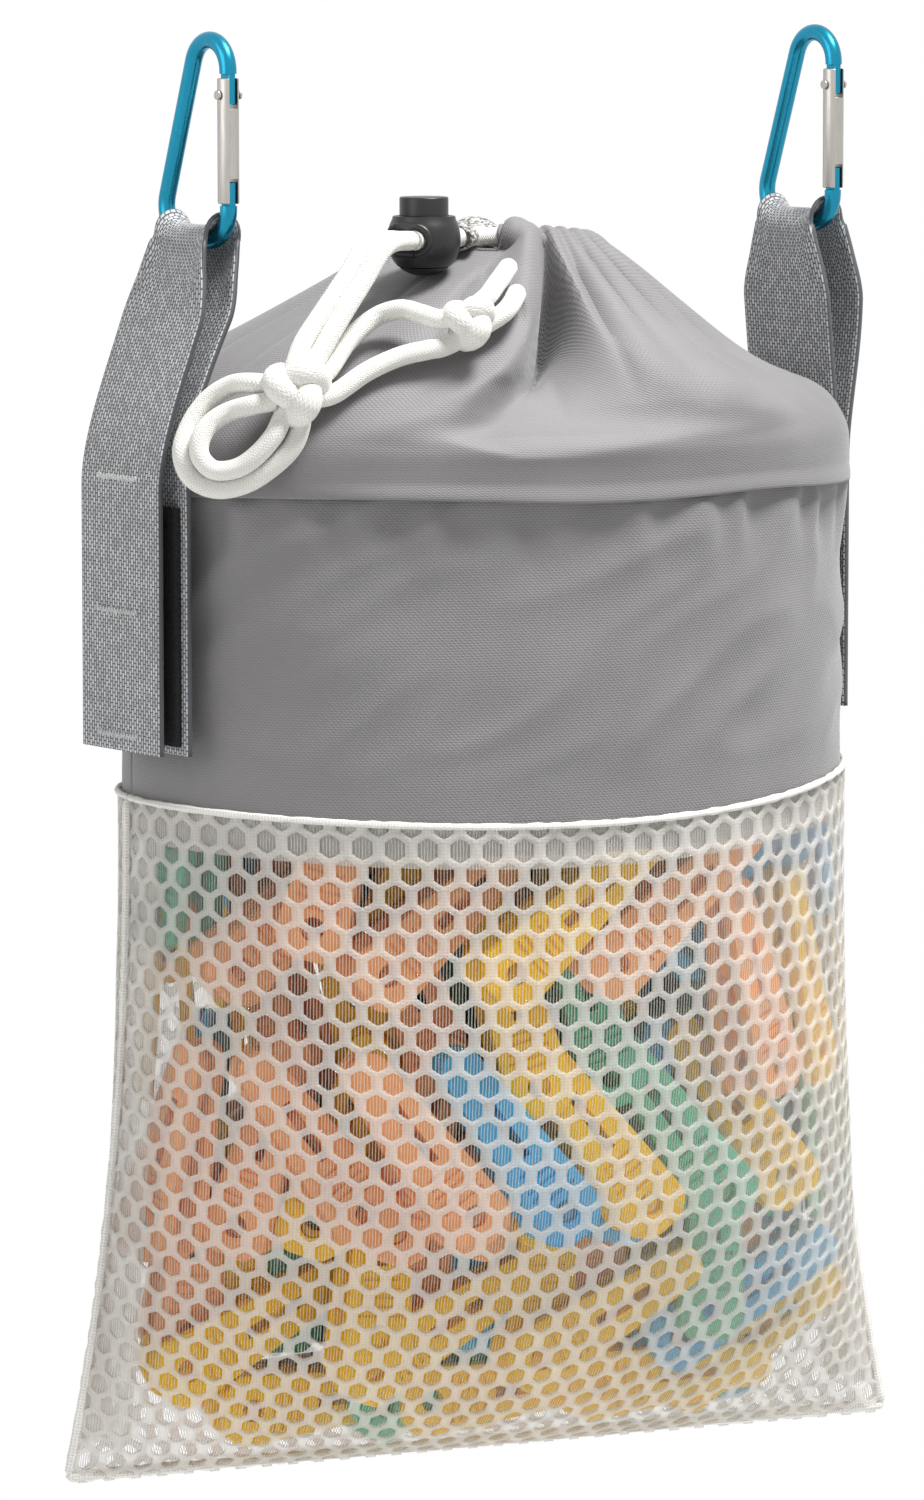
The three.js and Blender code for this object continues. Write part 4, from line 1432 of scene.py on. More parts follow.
@dataclass
class Hood:
    """The gathered hood: cloth drawn in from the hem to the neck, in folds."""

    form: BagForm
    flat: Pair = (0.575, 0.105)  # in metres
    faces: tuple[int, int] = (420, 114)
    top_z: float = -52.97
    neck_x: float = 8.0
    neck_z: float = -50.0
    neck_radius: float = 22.0
    roll: float = 4.95
    roll_share: float = 0.13
    roll_low: float = math.radians(-37)
    roll_high: float = math.radians(45)
    skirt: float = -0.1
    pleats: int = 14
    pleat_depth: float = 2.4
    straps: Pair = (math.radians(10), math.radians(-170))
    cords_start: float = math.radians(-172)
    cords_lift: float = 1.4  # how far the cloth comes up to the cords that lie on it
    hem_wave: float = 1.6
    hem_flare: float = 1.4
    ledge: Pair = (0.6, 2.2)  # the fold above the hem, all round and more in front
    slump: float = 7.5
    drape: float = 3.0
    cleft: float = 7.0
    left_bank: float = 3.0
    right_bank: float = 2.6

    # The round lobes: where each lies, how high it stands and how wide it is
    lobes = ((-1.08, 4.6, 0.22), (-0.5, 2.0, 0.2), (0.5, 3.5, 0.35), (1.5, 4.5, 0.4), (2.5, 3.5, 0.4))
    # Curves by the share of the way from the hem to the neck. The cords lie on the cloth up to this angle,
    # in degrees, and their rest fades beside it over this one, in radians
    cords_end = ((0.3, -142), (0.45, -122), (0.6, -104), (0.82, -104), (0.92, -121))
    cords_fade = ((0.3, 0.45), (0.5, 0.14), (0.6, 0.06))
    # The front valley: its left and right edge in degrees, its depth in millimetres, where its right side
    # begins to rise, and how level the way is that it sinks along
    valley_left = ((0.22, -104), (0.3, -113), (0.42, -111), (0.6, -104), (0.75, -99), (0.9, -95), (1.0, -94))
    valley_right = ((0.22, -84), (0.32, -66), (0.45, -69), (0.6, -75), (0.75, -80), (0.9, -84), (1.0, -87))
    valley_depth = ((0.2, 0), (0.34, 4.5), (0.5, 8), (0.66, 12), (0.8, 15.5), (0.9, 13), (0.97, 5), (1.0, 2))
    valley_soft = ((0.3, 0.3), (0.55, 0.25), (0.75, 0.3), (0.9, 0.45))
    valley_level = ((0.3, 1.0), (0.6, 0.72), (0.8, 0.5), (1.0, 0.35))

    def _profile(self, up: float) -> Vector:
        """Side view: x is 1 at the hem and 0 at the neck, y is 0 at the hem and 1 at the neck."""
        return bend((1, 0), (1.08, 0.3), (0.8, 0.58), (0, 1))(up)

    def _under_cords(self, angle: float, up: float) -> float:
        """1 where the free cords lie on the hood, fading to 0 beside them."""
        high, fade = math.radians(follow(self.cords_end, up)), follow(self.cords_fade, up)
        return ease(self.cords_start - 0.1, self.cords_start, angle) * ease(high + fade, high, angle)

    def _valley(self, angle: float, up: float) -> tuple[float, float]:
        """Draws the deep front valley: a dark cleft at the neck that opens to a hollow above the hem.

        Args:
            angle: Turn round the neck.
            up: Share from the hem to the neck.

        Returns:
            How high its banks stand and how deep it sinks. Its left bank is crisp, its
            right one soft.
        """
        left = follow(self.valley_left, up)
        right = follow(self.valley_right, up)
        degrees = math.degrees(turn_between(angle, 0.0))
        share = (degrees - left) / (right - left)
        crisp = max(0.2, 4.0 / (right - left))
        sides = ease(0, crisp, share) * ease(1.0, follow(self.valley_soft, up), share)
        dip = follow(self.valley_depth, up) * sides
        dip += self.cleft * hump(degrees - left - 5, 3.2) * hump(up - 0.74, 0.13)
        banks = self.left_bank * hump(degrees - left + 6, 7) + self.right_bank * hump(degrees - right - 9, 11)
        return banks * ease(0.24, 0.4, up) * ease(1.0, 0.85, up), dip

    def _folds(self, angle: float, up: float) -> float:
        """Draws the folds beyond the even pleats: round lobes, drape and gathers.

        Args:
            angle: Turn round the neck.
            up: Share from the hem to the neck.

        Returns:
            Their height.
        """
        lobes = 0.0
        for centre, height, spread in self.lobes:
            lobes += height * hump(turn_between(angle, centre), spread) * hump(up - 0.5, 0.23)
        around = Vector((math.cos(angle), math.sin(angle), 0))
        drape = self.drape * noise.noise(around * 2.3 + Vector((0, 0, up * 1.2 + 5))) * ease(0.1, 0.35, up)
        begin = 0.42 + 0.35 * noise.noise(around * 2.9 + Vector((2, 1, 0)))
        height = follow(((begin, 0.0), (0.88, 3.2), (1.0, 1.5)), up)
        gathers = height * max(gather(angle) - 0.1, mix(-1.1, -0.4, ease(0.85, 1, up)))
        return lobes + drape * ease(1.0, 0.75, up) + gathers

    def _fold(self, angle: float, up: float) -> tuple[float, float]:
        """Adds up all folds at a place.

        Args:
            angle: Turn round the neck.
            up: Share from the hem to the neck.

        Returns:
            How far the cloth stands out and how far it sinks.
        """
        even = self.pleat_depth * 6.75 * up**2 * (1 - up) * math.cos(self.pleats * angle)
        free = 1 - self._under_cords(angle, up)
        clear = 1 - max(hump(turn_between(angle, strap), 0.35) for strap in self.straps)
        banks, dip = self._valley(angle, up)
        level = follow(self.valley_level, up)
        folds = self._folds(angle, up) + banks - dip * level
        fold = mix(0.5 * even + min(0.0, 0.5 * folds) + self.cords_lift, 0.35 * even + folds, free)
        ledge = self.ledge[0] + self.ledge[1] * hump(turn_between(angle, math.radians(-90)), 0.42)
        fold += (ledge * hump(up - 0.25, 0.085) + self.hem_flare * ease(0.09, 0.0, up)) * free * clear
        return fold, dip * math.sqrt(1 - level**2)

    def _roll_start(self, angle: float) -> float:
        """Where round the casing the cloth meets it: low beside the strands, high where it runs on."""
        aside = abs(turn_between(angle, CORD_EXIT))
        return mix(self.roll_low, self.roll_high, ease(MOUTH + 0.05, MOUTH + 0.4, aside))

    def _rim(self, angle: float, over: float, fold: float) -> Vector:
        """Finds a point where the cloth rolls over the casing; it stays open where the strands come out.

        Args:
            angle: Turn round the neck.
            over: Share of the way over the casing.
            fold: How far the cloth stands out.

        Returns:
            The point.
        """
        mouth = ease(MOUTH + 0.14, MOUTH, abs(turn_between(angle, CORD_EXIT)))
        end = math.radians(mix(165, -32, mouth))
        crumple = 0.7 * noise.noise(Vector((7 * angle, 1, over)))
        tube = self.roll + fold * (1 - 0.5 * over) + crumple * ease(0, 0.3, over)
        turn = mix(self._roll_start(angle), end, over)
        radius = self.neck_radius + tube * math.cos(turn)
        height = self.neck_z - neck_drop(angle) + tube * math.sin(turn)
        return spot(self.neck_x + radius * math.cos(angle), radius * math.sin(angle), height)

    def _slope(self, angle: float, up: float, fold: float, sink: float) -> Vector:
        """Finds a point between the hem and the neck.

        Args:
            angle: Turn round the neck.
            up: Share from the hem to the neck.
            fold: How far the cloth stands out.
            sink: How far it sinks.

        Returns:
            The point.
        """
        profile = self._profile(up)
        start = self._roll_start(angle)
        neck = ease(0.88, 1.0, up)
        top_radius = self.neck_radius + self.roll * math.cos(start)
        out = fold * mix(1, math.cos(start), neck)
        reach = [
            top_radius + (half + self.skirt - top_radius) * profile.x + out
            for half in (self.form.half_width, self.form.half_depth)
        ]
        round_hem = Vector((math.cos(angle) * 1.6, math.sin(angle) * 1.6, 0.4))
        wave = self.hem_wave * noise.noise(round_hem) * ease(0.2, 0.0, up)
        # The cloth climbs steeply to the neck, and hangs low on the right
        climb = self.roll * (math.sin(start) - math.sin(self.roll_low)) * max(0.0, (up - 0.72) / 0.28) ** 2
        climb += fold * math.sin(start) * neck - neck_drop(angle) * ease(0.5, 0.95, up)
        slump = self.slump * hump(turn_between(angle, math.radians(-12)), 0.75) * hump(up - 0.67, 0.2)
        x = self.neck_x * (1 - profile.x) + reach[0] * math.cos(angle)
        z = mix(self.form.hem_z, self.top_z, profile.y) + wave + climb - slump - sink
        return spot(x, reach[1] * math.sin(angle), z)

    def point(self, around: float, along: float) -> Vector:
        """Finds a point of the hood's outer face.

        Args:
            around: Share of a turn round the neck.
            along: Share of the way from the hem up to the neck and over the casing.

        Returns:
            The point.
        """
        angle = turn_between(2 * math.pi * around, 0.0)
        way = along * (1 + self.roll_share)
        up = min(1.0, way)
        over = max(0.0, way - 1) / self.roll_share
        fold, sink = self._fold(angle, up)
        return self._rim(angle, over, fold) if over else self._slope(angle, up, fold, sink)

    def build(self) -> None:
        """Builds the hood with its hem."""
        bm = sheet_mesh(*self.faces, self.point, self.flat, ring=True)
        piece = make_piece(bm, "hood_cloth", GREY_TWILL, BAG, "grey_cloth", ["hood"])
        thicken(piece, self.form.cloth * MM)
        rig.sheet(piece, flat=self.flat, held="gathered", rests_on=["drawcord_loop"])


@dataclass(frozen=True)
class Knot:
    """A tight knot of one length of cord, pressed fat, through three lobes."""

    name: str
    centre: tuple[float, float, float]
    lobe: float
    fat: float
    facing: tuple[float, float, float]


@dataclass(frozen=True)
class FreeCord:
    """A free stretch of cord: the points that it follows, and the solids that it stands for."""

    name: str
    nodes: tuple[str, ...]
    points: tuple[tuple[float, float, float], ...]
    far_end: str = "knot"
    knot: str = ""  # the knot that belongs to it


@dataclass
class Drawstring:
    """The drawcord round the neck, its casing, and its free ends with a bow and an end knot."""

    cord: float = 5.5
    cord_step: float = 1.2
    neck: tuple[float, float, float] = (8.0, 0.0, -50.0)
    neck_radius: float = 22.0
    casing_radius: float = 3.85
    casing_thickness: float = 0.6
    casing_flat: Pair = (0.025, 0.3)  # in metres
    bend_radius: float = 11.0
    strand_offset: float = 2.9
    strand_end: float = 54.5
    lining: Pair = (7.0, 3.9)
    lining_run: Pair = (19.0, 32.0)
    lining_flat: Pair = (0.04, 0.016)  # in metres
    lining_thickness: float = 0.5
    knot_steps: int = 72

    knots = (
        Knot("bow_knot", (-78.0, -55.5, -89.0), 6.3, 4.0, (-0.3, -1, 0.25)),
        Knot("end_knot", (-28.5, -58.6, -71.2), 4.7, 3.5, (-0.2, -1, 0.3)),
    )
    free = (
        FreeCord(
            "lead_front_cord",
            ("cord_lead_front",),
            (
                (-34.6, -33.35, -50), (-43.2, -39.5, -50), (-48.6, -43, -52.6), (-55, -46.6, -60),
                (-62.5, -50, -69), (-69.5, -53, -78), (-75.5, -55.5, -86),
            ),
            knot="bow_knot",
        ),
        FreeCord(
            "lead_rear_cord",
            ("cord_lead_rear",),
            (
                (-37.9, -28.6, -50), (-46.5, -34.7, -50), (-52, -38.2, -52.5), (-58.6, -42.2, -59.6),
                (-66.8, -46.3, -68.4), (-74.6, -50.6, -77), (-79.5, -55.5, -85),
            ),
        ),
        FreeCord(
            "bow_loop_outer_cord",
            ("cord_bow_loop_outer",),
            (
                (-82, -53, -88), (-89, -49.6, -87), (-93, -43.8, -88), (-98, -40, -92), (-103, -39.5, -98.5),
                (-106.5, -42, -106), (-104.5, -43.5, -112.8), (-98.5, -47, -116), (-91.5, -51, -114.5),
                (-85.3, -54.8, -110), (-80, -56.8, -104.5), (-76.9, -55.5, -98.6), (-76.5, -55, -92),
            ),
        ),
        FreeCord(
            "bow_loop_inner_cord",
            ("cord_bow_loop_inner",),
            (
                (-83, -55, -91.5), (-89.6, -53, -92.8), (-94.4, -48, -94.7), (-99.3, -46, -97.8),
                (-102.8, -46.6, -102.3), (-103.2, -47.6, -107), (-99.8, -49.2, -110.6), (-94.2, -52.2, -110),
                (-89.4, -55, -106.3), (-85.2, -56.5, -101.2), (-82.8, -55.5, -97.5), (-80, -55, -92),
            ),
        ),
        FreeCord(
            "tail_upper_cord",
            ("cord_tail_upper", "cord_tip_upper"),
            (
                (-74, -55, -87), (-67.8, -52.5, -84), (-59.5, -46.5, -76.5), (-51, -44.5, -70.5),
                (-45, -48.5, -68), (-41, -53.2, -69), (-36.5, -56.8, -70.4), (-30, -58.3, -69),
                (-23, -57, -64.9), (-17, -51, -61), (-9.5, -42.5, -56.5),
            ),
            far_end="bare",
            knot="end_knot",
        ),
        FreeCord(
            "tail_lower_cord",
            ("cord_tail_lower", "cord_tip_lower"),
            (
                (-74, -55.5, -91.5), (-67, -55.5, -90.2), (-57.5, -55.2, -84.5), (-48, -55.8, -80.5),
                (-40.5, -57.3, -78.8), (-34.2, -57.8, -77.4), (-20.4, -57.6, -70.6), (-15, -54.8, -67.5),
                (-9.3, -47.5, -63.3),
            ),
            far_end="bare",
        ),
    )

    def neck_point(self, along: float, aside: float, up: float = 0.0) -> Vector:
        """A point near the neck, by distances along the strands, across them and above the cord."""
        rise = up - neck_drop(CORD_EXIT + math.atan2(aside, along))
        return (Vector(self.neck) + Matrix.Rotation(CORD_EXIT, 3, "Z") @ Vector((along, aside, rise))) * MM

    def _radius(self, _: float = 0.0) -> float:
        """Half the cord's thickness."""
        return self.cord / 2 * MM

    def build_loop(self) -> None:
        """Builds the cord in the casing and its two strands through the lock."""
        aside = self.strand_offset + self.bend_radius
        along = math.sqrt((self.neck_radius + self.bend_radius) ** 2 - aside**2)
        meet = math.atan2(aside, along)
        line = [(self.strand_end, self.strand_offset)]
        line += arc((along, aside), self.bend_radius, -math.pi / 2, meet - math.pi, 10)
        line += arc((0, 0), self.neck_radius, meet, 2 * math.pi - meet, 60)[1:]
        line += arc((along, -aside), self.bend_radius, math.pi - meet, math.pi / 2, 10)[1:]
        line.append((self.strand_end, -self.strand_offset))
        bm = sweep(Route([self.neck_point(*p) for p in line]), self._radius, rounded=False)
        make_piece(bm, "drawcord_loop", WHITE_CORD, BAG, "white_cord", ["drawcord"])

    def build_casing(self) -> None:
        """Builds the cord's tunnel, crumpled by the gathers and open where the strands come out."""

        def place(around: float, along: float) -> Vector:
            """A point of the tunnel; its creases stop at the cord inside, and its folds stand up from it."""
            turn = CORD_EXIT + MOUTH + along * 2 * (math.pi - MOUTH)
            crumple = 0.25 * math.sin(33 * turn + 3 * noise.noise(Vector((turn * 2, 1, 0))))
            fold = max(-0.15, gather(turn) + crumple)
            section = 2 * math.pi * around
            tube = self.casing_radius + 0.6 * fold * ease(-0.9, 0.6, math.cos(section))
            radius = self.neck_radius + tube * math.cos(section)
            rise = tube * math.sin(section) - neck_drop(turn)
            x, y, z = self.neck
            return spot(x + radius * math.cos(turn), y + radius * math.sin(turn), z + rise)

        bm = sheet_mesh(20, 260, place, self.casing_flat, ring=True)
        bmesh.ops.recalc_face_normals(bm, faces=bm.faces)
        piece = make_piece(bm, "cord_casing_cloth", GREY_TWILL, BAG, "grey_cloth", ["cord_casing"])
        thicken(piece, self.casing_thickness * MM)

    def build_lining(self) -> None:
        """Builds the melange knit lining that shows in the casing's mouth, round both strands."""

        def place(around: float, along: float) -> Vector:
            """A point of the lining, which is wavy and flares towards the neck."""
            angle = 2 * math.pi * around
            flare = 1 + 0.12 * math.sin(9 * along + angle) + 0.25 * ease(0.4, 0.0, along)
            aside, up = self.lining[0] * flare * math.cos(angle), self.lining[1] * flare * math.sin(angle)
            return self.neck_point(mix(*self.lining_run, along), aside, up)

        bm = sheet_mesh(28, 14, place, self.lining_flat, ring=True)
        bmesh.ops.recalc_face_normals(bm, faces=bm.faces)
        piece = make_piece(bm, "cord_exit_lining", MELANGE_KNIT, BAG, "grey_cloth")
        thicken(piece, self.lining_thickness * MM)

    def _tie(self, knot: Knot) -> Object:
        """Builds one knot.

        Args:
            knot: Its sizes.

        Returns:
            The knot.
        """
        turn = Vector(knot.facing).to_track_quat("Z", "Y").to_matrix()
        points = []
        for i in range(self.knot_steps + 1):
            t = 2 * math.pi * i / self.knot_steps
            across, up = math.sin(t) + 2 * math.sin(2 * t), math.cos(t) - 2 * math.cos(2 * t)
            lobe = Vector((across, up, 0)) * (knot.lobe / 3)
            weave = Vector((0, 0, -knot.fat * math.sin(3 * t)))
            points.append((Vector(knot.centre) + turn @ (lobe + weave)) * MM)
        bm = sweep(Route(points), lambda _: knot.fat * MM, step=0.9 * MM, rounded=False)
        return make_piece(bm, knot.name, WHITE_CORD, BAG, "white_cord", [f"cord_{knot.name}"])

    def _lay(self, cord: FreeCord, extras: Sequence[Object]) -> None:
        """Args:
            cord: The cord.
            extras: The pieces that belong to it.
        """
        route = Route([Vector(p) * MM for p in cord.points], fineness=10)
        rows = max(4, round(route.length / (self.cord_step * MM)))
        bm = sweep(route, self._radius, step=self.cord_step * MM)
        piece = make_piece(bm, cord.name, WHITE_CORD, BAG, "white_cord", cord.nodes)
        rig.cord(
            piece,
            exit=route.line[0],
            length=route.length,
            diameter=self.cord * MM,
            far_end=cord.far_end,
            stiffness="limp",
            lay="loose",
            path=[route.frame(i / rows)[0] for i in range(rows + 1)],
            with_pieces=extras,
        )

    def build(self) -> None:
        """Builds the loop, the casing, the knots and the free cords."""
        self.build_loop()
        self.build_casing()
        self.build_lining()
        tied = {knot.name: self._tie(knot) for knot in self.knots}
        for cord in self.free:
            self._lay(cord, [tied[cord.knot]] if cord.knot else [])


@dataclass
class CordLock:
    """The ball-shaped cord lock: a body with a bore and a well, and a sprung plunger with a window."""

    drawstring: Drawstring
    distance: float = 45.0
    radius: float = 10.25
    squareness: float = 2.15
    profile_steps: int = 33
    top: float = 6.5
    lip: float = 0.9
    bore: Pair = (11.9, 6.1)
    bore_round: float = 2.9
    cut_length: float = 50.0
    well_radius: float = 7.15
    well_bottom: float = -7.95
    well_top: float = 20.0
    plunger_radius: float = 6.85
    plunger_bottom: float = -4.25
    plunger_top: float = 11.75
    plunger_round: float = 0.5
    window: Pair = (-3.05, 6.25)
    body_soft: float = 0.45
    plunger_soft: float = 0.35
    spring_pressed: float = 0.14

    def _place(self) -> Matrix:
        """From the lock's own frame, strands along X, to the part's."""
        middle = self.drawstring.neck_point(self.distance, 0)
        return Matrix.Translation(middle) @ Matrix.Rotation(CORD_EXIT, 4, "Z")

    def _slot(self, bottom: float, top: float) -> BMesh:
        """A cutter for the two strands, along X."""
        size = spot(self.cut_length, self.bore[0], top - bottom)
        return block(size, spot(0, 0, (top + bottom) / 2), round_off=self.bore_round * MM)

    def _pin(self, radius: float, bottom: float, top: float, segments: int, round_off: float = 0.0) -> BMesh:
        """An upright cylinder between two heights."""
        middle = Matrix.Translation(spot(0, 0, (bottom + top) / 2))
        return barrel(radius * MM, (top - bottom) * MM, middle, segments, round_off * MM)

    def _collar(self) -> BMesh:
        """Makes the raised lip round the bore, on the side where the leads come out.

        Returns:
            A closed roll that follows the ball.
        """
        half = self.bore[1] / 2
        run = self.bore[0] / 2 - half
        ring = arc((run, 0), half + self.lip, -math.pi / 2, math.pi / 2, 12)
        ring += arc((-run, 0), half + self.lip, math.pi / 2, 1.5 * math.pi, 12)
        ring.append(ring[0])
        points = [spot(math.sqrt(self.radius**2 - y**2 - z**2) - 0.1, y, z) for y, z in ring]
        route = Route(points, fineness=2)
        return sweep(route, lambda _: self.lip * MM, sides=12, step=0.6 * MM, rounded=False)

    def _ball(self) -> BMesh:
        """Makes the body before it is cut.

        Returns:
            A ball, a little squared, with a flat top.
        """
        profile = [(0.0, -self.radius)]
        for i in range(1, self.profile_steps):
            angle = mix(-math.pi / 2, math.pi / 2, i / self.profile_steps)
            ways = (math.cos(angle), math.sin(angle))
            out, up = (self.radius * math.copysign(abs(way) ** (2 / self.squareness), way) for way in ways)
            if up < self.top - 0.5:
                profile.append((out, up))
        rim = profile[-1][0]
        profile += [(rim - 0.25, self.top - 0.15), (rim - 0.7, self.top), (0.0, self.top)]
        return lathe(profile, 56)

    def build(self) -> None:
        """Builds the body and the plunger; the spring keeps its solid and is squashed with the plunger."""
        slot, node = "black_plastic", "cord_lock_plunger"
        well = self._pin(self.well_radius, self.well_bottom, self.well_top, 32)
        body = carve(self._ball(), [well, self._slot(-self.bore[1] / 2, self.bore[1] / 2)])
        body = join_meshes([body, self._collar()])
        body.transform(self._place())
        shell = make_piece(body, "lock_body", BLACK_PLASTIC, "cord_lock", slot, ["cord_lock_body"], CARVED)
        soften(shell, self.body_soft * MM)
        stem = self._pin(self.plunger_radius, self.plunger_bottom, self.plunger_top, 48, self.plunger_round)
        stem = carve(stem, [self._slot(*self.window)])
        stem.transform(self._place())
        plunger = make_piece(stem, "lock_plunger", BLACK_PLASTIC, node, slot, [node], CARVED)
        soften(plunger, self.plunger_soft * MM)
        spring = dress_node("cord_lock_spring", SPRING_STEEL)
        foot = self._place() @ spot(0, 0, self.well_bottom)
        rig.squash(spring, "plunger_press", axis=(0, 0, 1), anchor=tuple(foot), keep=self.spring_pressed)


# The hangers


@dataclass
class Hanger:
    """One hanger: a carabiner on the line and the webbing strap folded over its base."""

    form: BagForm
    side: Side
    x: float
    y: float
    inner: float
    turn: float = math.radians(15)
    rod: float = 4.8
    bow_radius: float = 8.5
    bow_z: float = -3.1
    base_radius: float = 9.0
    corner_z: float = -40.8
    base_z: float = -49.8
    base_y: float = 6.5
    spine_y: float = 12.5
    nose_y: float = 0.5
    spine_angle: float = 0.3328
    hinge_z: float = -3.71
    nose_z: float = -40.0
    tongues: tuple[Pair, Pair] = ((-12.21, -3.11), (-40.6, -33.4))
    tongue: Pair = (2.2, 4.2)
    gate: Pair = (-39.4, -4.9)
    gate_radius: float = 3.0
    gate_soft: float = 0.2
    edge_round: float = 0.35
    slot_width: float = 2.8
    slot_depth: float = 12.0
    hinge_slot: float = 8.33
    nose_slot: float = 6.9
    strap_width: float = 38.0
    strap_thickness: float = 1.3
    strap_length: float = 141.0
    strap_pinch: float = 24.0
    strap_step: float = 8.0
    pinch_start: float = -22.0
    pinch_end: float = -2.0
    loop_half: float = 6.3
    skew: float = 4.0
    stitch_rows: tuple[float, ...] = (4.5, 39.0, 76.0)
    stitch_count: int = 28
    stitch_across: Pair = (0.2, 0.72)
    stitch_zigzag: float = 0.9
    stitch_radius: float = 0.42
    stitch_lift: float = 0.15

    def _place(self) -> Matrix:
        """From the hanger's own frame to the part's."""
        return Matrix.Translation(spot(self.x, self.y, 0)) @ Matrix.Rotation(self.turn, 4, "Z")

    def build_frame(self) -> None:
        """Builds the bent rod with a tongue at each end."""
        gate_y = -self.bow_radius
        line = [(gate_y, self.hinge_z)]
        line += arc((0, self.bow_z), self.bow_radius, math.pi, self.spine_angle, 36)
        line += arc((self.spine_y, self.corner_z), self.base_radius, self.spine_angle, -math.pi / 2, 24)
        line += arc((self.nose_y, self.corner_z), self.base_radius, -math.pi / 2, -math.pi, 20)
        line.append((gate_y, self.nose_z))
        route = Route([spot(0, y, z) for y, z in line])
        parts = [sweep(route, lambda _: self.rod / 2 * MM, sides=24, step=1.0 * MM, rounded=False)]
        for low, high in self.tongues:
            size = spot(*self.tongue, high - low)
            parts.append(block(size, spot(0, gate_y, (low + high) / 2), round_off=self.edge_round * MM))
        bm = join_meshes(parts)
        bm.transform(self._place())
        label = f"{self.side.label}_carabiner"
        make_piece(bm, f"{label}_rod", TEAL_METAL, label, "teal_aluminium", [f"{label}_frame"])

    def build_gate(self) -> None:
        """Builds the sprung gate, slotted at both ends; its rivet and spring keep their solids."""
        low, high = self.gate
        middle = Matrix.Translation(spot(0, -self.bow_radius, (low + high) / 2))
        bar = barrel(self.gate_radius * MM, (high - low) * MM, middle, 40, self.edge_round * MM)
        cutters = [
            block(spot(self.slot_width, self.slot_depth, 2 * depth), spot(0, -self.bow_radius, end))
            for end, depth in ((high, self.hinge_slot), (low, self.nose_slot))
        ]
        bm = carve(bar, cutters)
        bm.transform(self._place())
        label = self.side.label
        body, nodes = f"{label}_gate", [f"{label}_carabiner_gate"]
        piece = make_piece(bm, f"{body}_bar", BARE_METAL, body, "plain_aluminium", nodes, CARVED)
        soften(piece, self.gate_soft * MM)
        dress_node(f"{label}_carabiner_rivet", BARE_METAL)
        dress_node(f"{label}_carabiner_spring", SPRING_STEEL)

    def _strap_route(self) -> Route:
        """Draws the strap's line seen along its width.

        Returns:
            Its route in millimetres, out from the bag as X and up from the base bar as Y.
        """
        hem = self.form.hem_z - self.base_z
        outer = self.inner + self.strap_step
        low = -self.strap_length
        half, top = self.loop_half, self.pinch_end
        down = bend((outer, hem + 2), (outer, hem + 20), (half + 6, -26), (half, top))
        back = bend((-half, top), (-half, -12), (self.inner, hem + 26), (self.inner, hem + 8))
        line = [Vector((outer, mix(low, hem + 2, i / 20), 0)) for i in range(20)]
        line += [down(i / 40) for i in range(40)]
        line += [Vector((x, y, 0)) for x, y in arc((0, top), half, 0, math.pi, 24)]
        line += [back(i / 40) for i in range(1, 40)]
        line += [Vector((self.inner, mix(hem + 8, low, i / 20), 0)) for i in range(21)]
        return Route(line)

    def _strap_point(self, route: Route, across: float, along: float, depth: float = 0.0) -> Vector:
        """Finds a point of the strap.

        Args:
            route: The strap's line.
            across: Share over its width.
            along: Share of its length from the outer end.
            depth: Distance in from the outer face of the fold.

        Returns:
            The point in the part's frame.
        """
        p, tangent, _ = route.frame(along)
        pinch = ease(self.pinch_start, self.pinch_end, p.y)
        y = (across - 0.5) * mix(self.strap_width, self.strap_pinch, pinch)
        # The drawn-in edges ride up the round corners of the base bar
        inside = self.base_radius - self.rod / 2
        beyond = min(inside, max(0.0, abs(y) - self.base_y + 0.5))
        cup = pinch * (inside - math.sqrt(inside**2 - beyond**2))
        wrinkle = 0.5 * pinch * math.sin(across * 19 + along * 9) * ease(4.5, 0, abs(p.y + 14))
        out = p.x - tangent.y * (depth - wrinkle)
        z = self.base_z + p.y + tangent.x * (depth - wrinkle) + cup
        side = self.side.value
        aside = self.base_y + side * y - self.skew * ease(0.55, 0.8, along)
        return self._place() @ spot(side * out, aside, z)

    def _stitch_row(self, route: Route, distance: float) -> BMesh:
        """Makes one row of zigzag stitching across the strap.

        Args:
            route: The strap's line.
            distance: How far it is from the strap's outer end.

        Returns:
            The thread.
        """
        points = []
        for i in range(self.stitch_count + 1):
            zigzag = self.stitch_zigzag if i % 2 else -self.stitch_zigzag
            across = mix(*self.stitch_across, i / self.stitch_count)
            along = (distance + zigzag) / route.length
            points.append(self._strap_point(route, across, along, -self.stitch_lift))
        return sweep(Route(points), lambda _: self.stitch_radius * MM, sides=6, step=1.1 * MM)

    def build_strap(self) -> None:
        """Builds the webbing and its stitching; its hook-and-loop tapes keep their solids."""
        route = self._strap_route()
        label = self.side.label
        flat = (self.strap_width * MM, route.length * MM)
        bm = sheet_mesh(20, 190, lambda across, along: self._strap_point(route, across, along), flat)
        strap = make_piece(bm, f"{label}_webbing", GREY_WEBBING, BAG, "webbing", [f"{label}_strap"])
        thicken(strap, self.strap_thickness * MM)
        rows = join_meshes([self._stitch_row(route, distance) for distance in self.stitch_rows])
        stitches = make_piece(rows, f"{label}_strap_stitching", GREY_STITCH, BAG, "webbing")
        tapes = [dress_node(f"{label}_{kind}_tape", BLACK_PILE) for kind in ("hook", "loop")]
        rests_on = [f"{label}_carabiner_rod"]
        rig.sheet(strap, flat=flat, held="folded", rests_on=rests_on, with_pieces=[stitches, *tapes])

    def build(self) -> None:
        """Builds the carabiner and its strap."""
        self.build_frame()
        self.build_gate()
        self.build_strap()


# The pegs


@dataclass(frozen=True)
class PegRow:
    """A row of parallel pegs against one wall."""

    wall: Wall
    rise: float
    tilt: float
    colours: str
    square: bool = False  # squared to the front, where others follow the wall
    nesting: float = 0.66  # share of a peg's size that no other reaches into


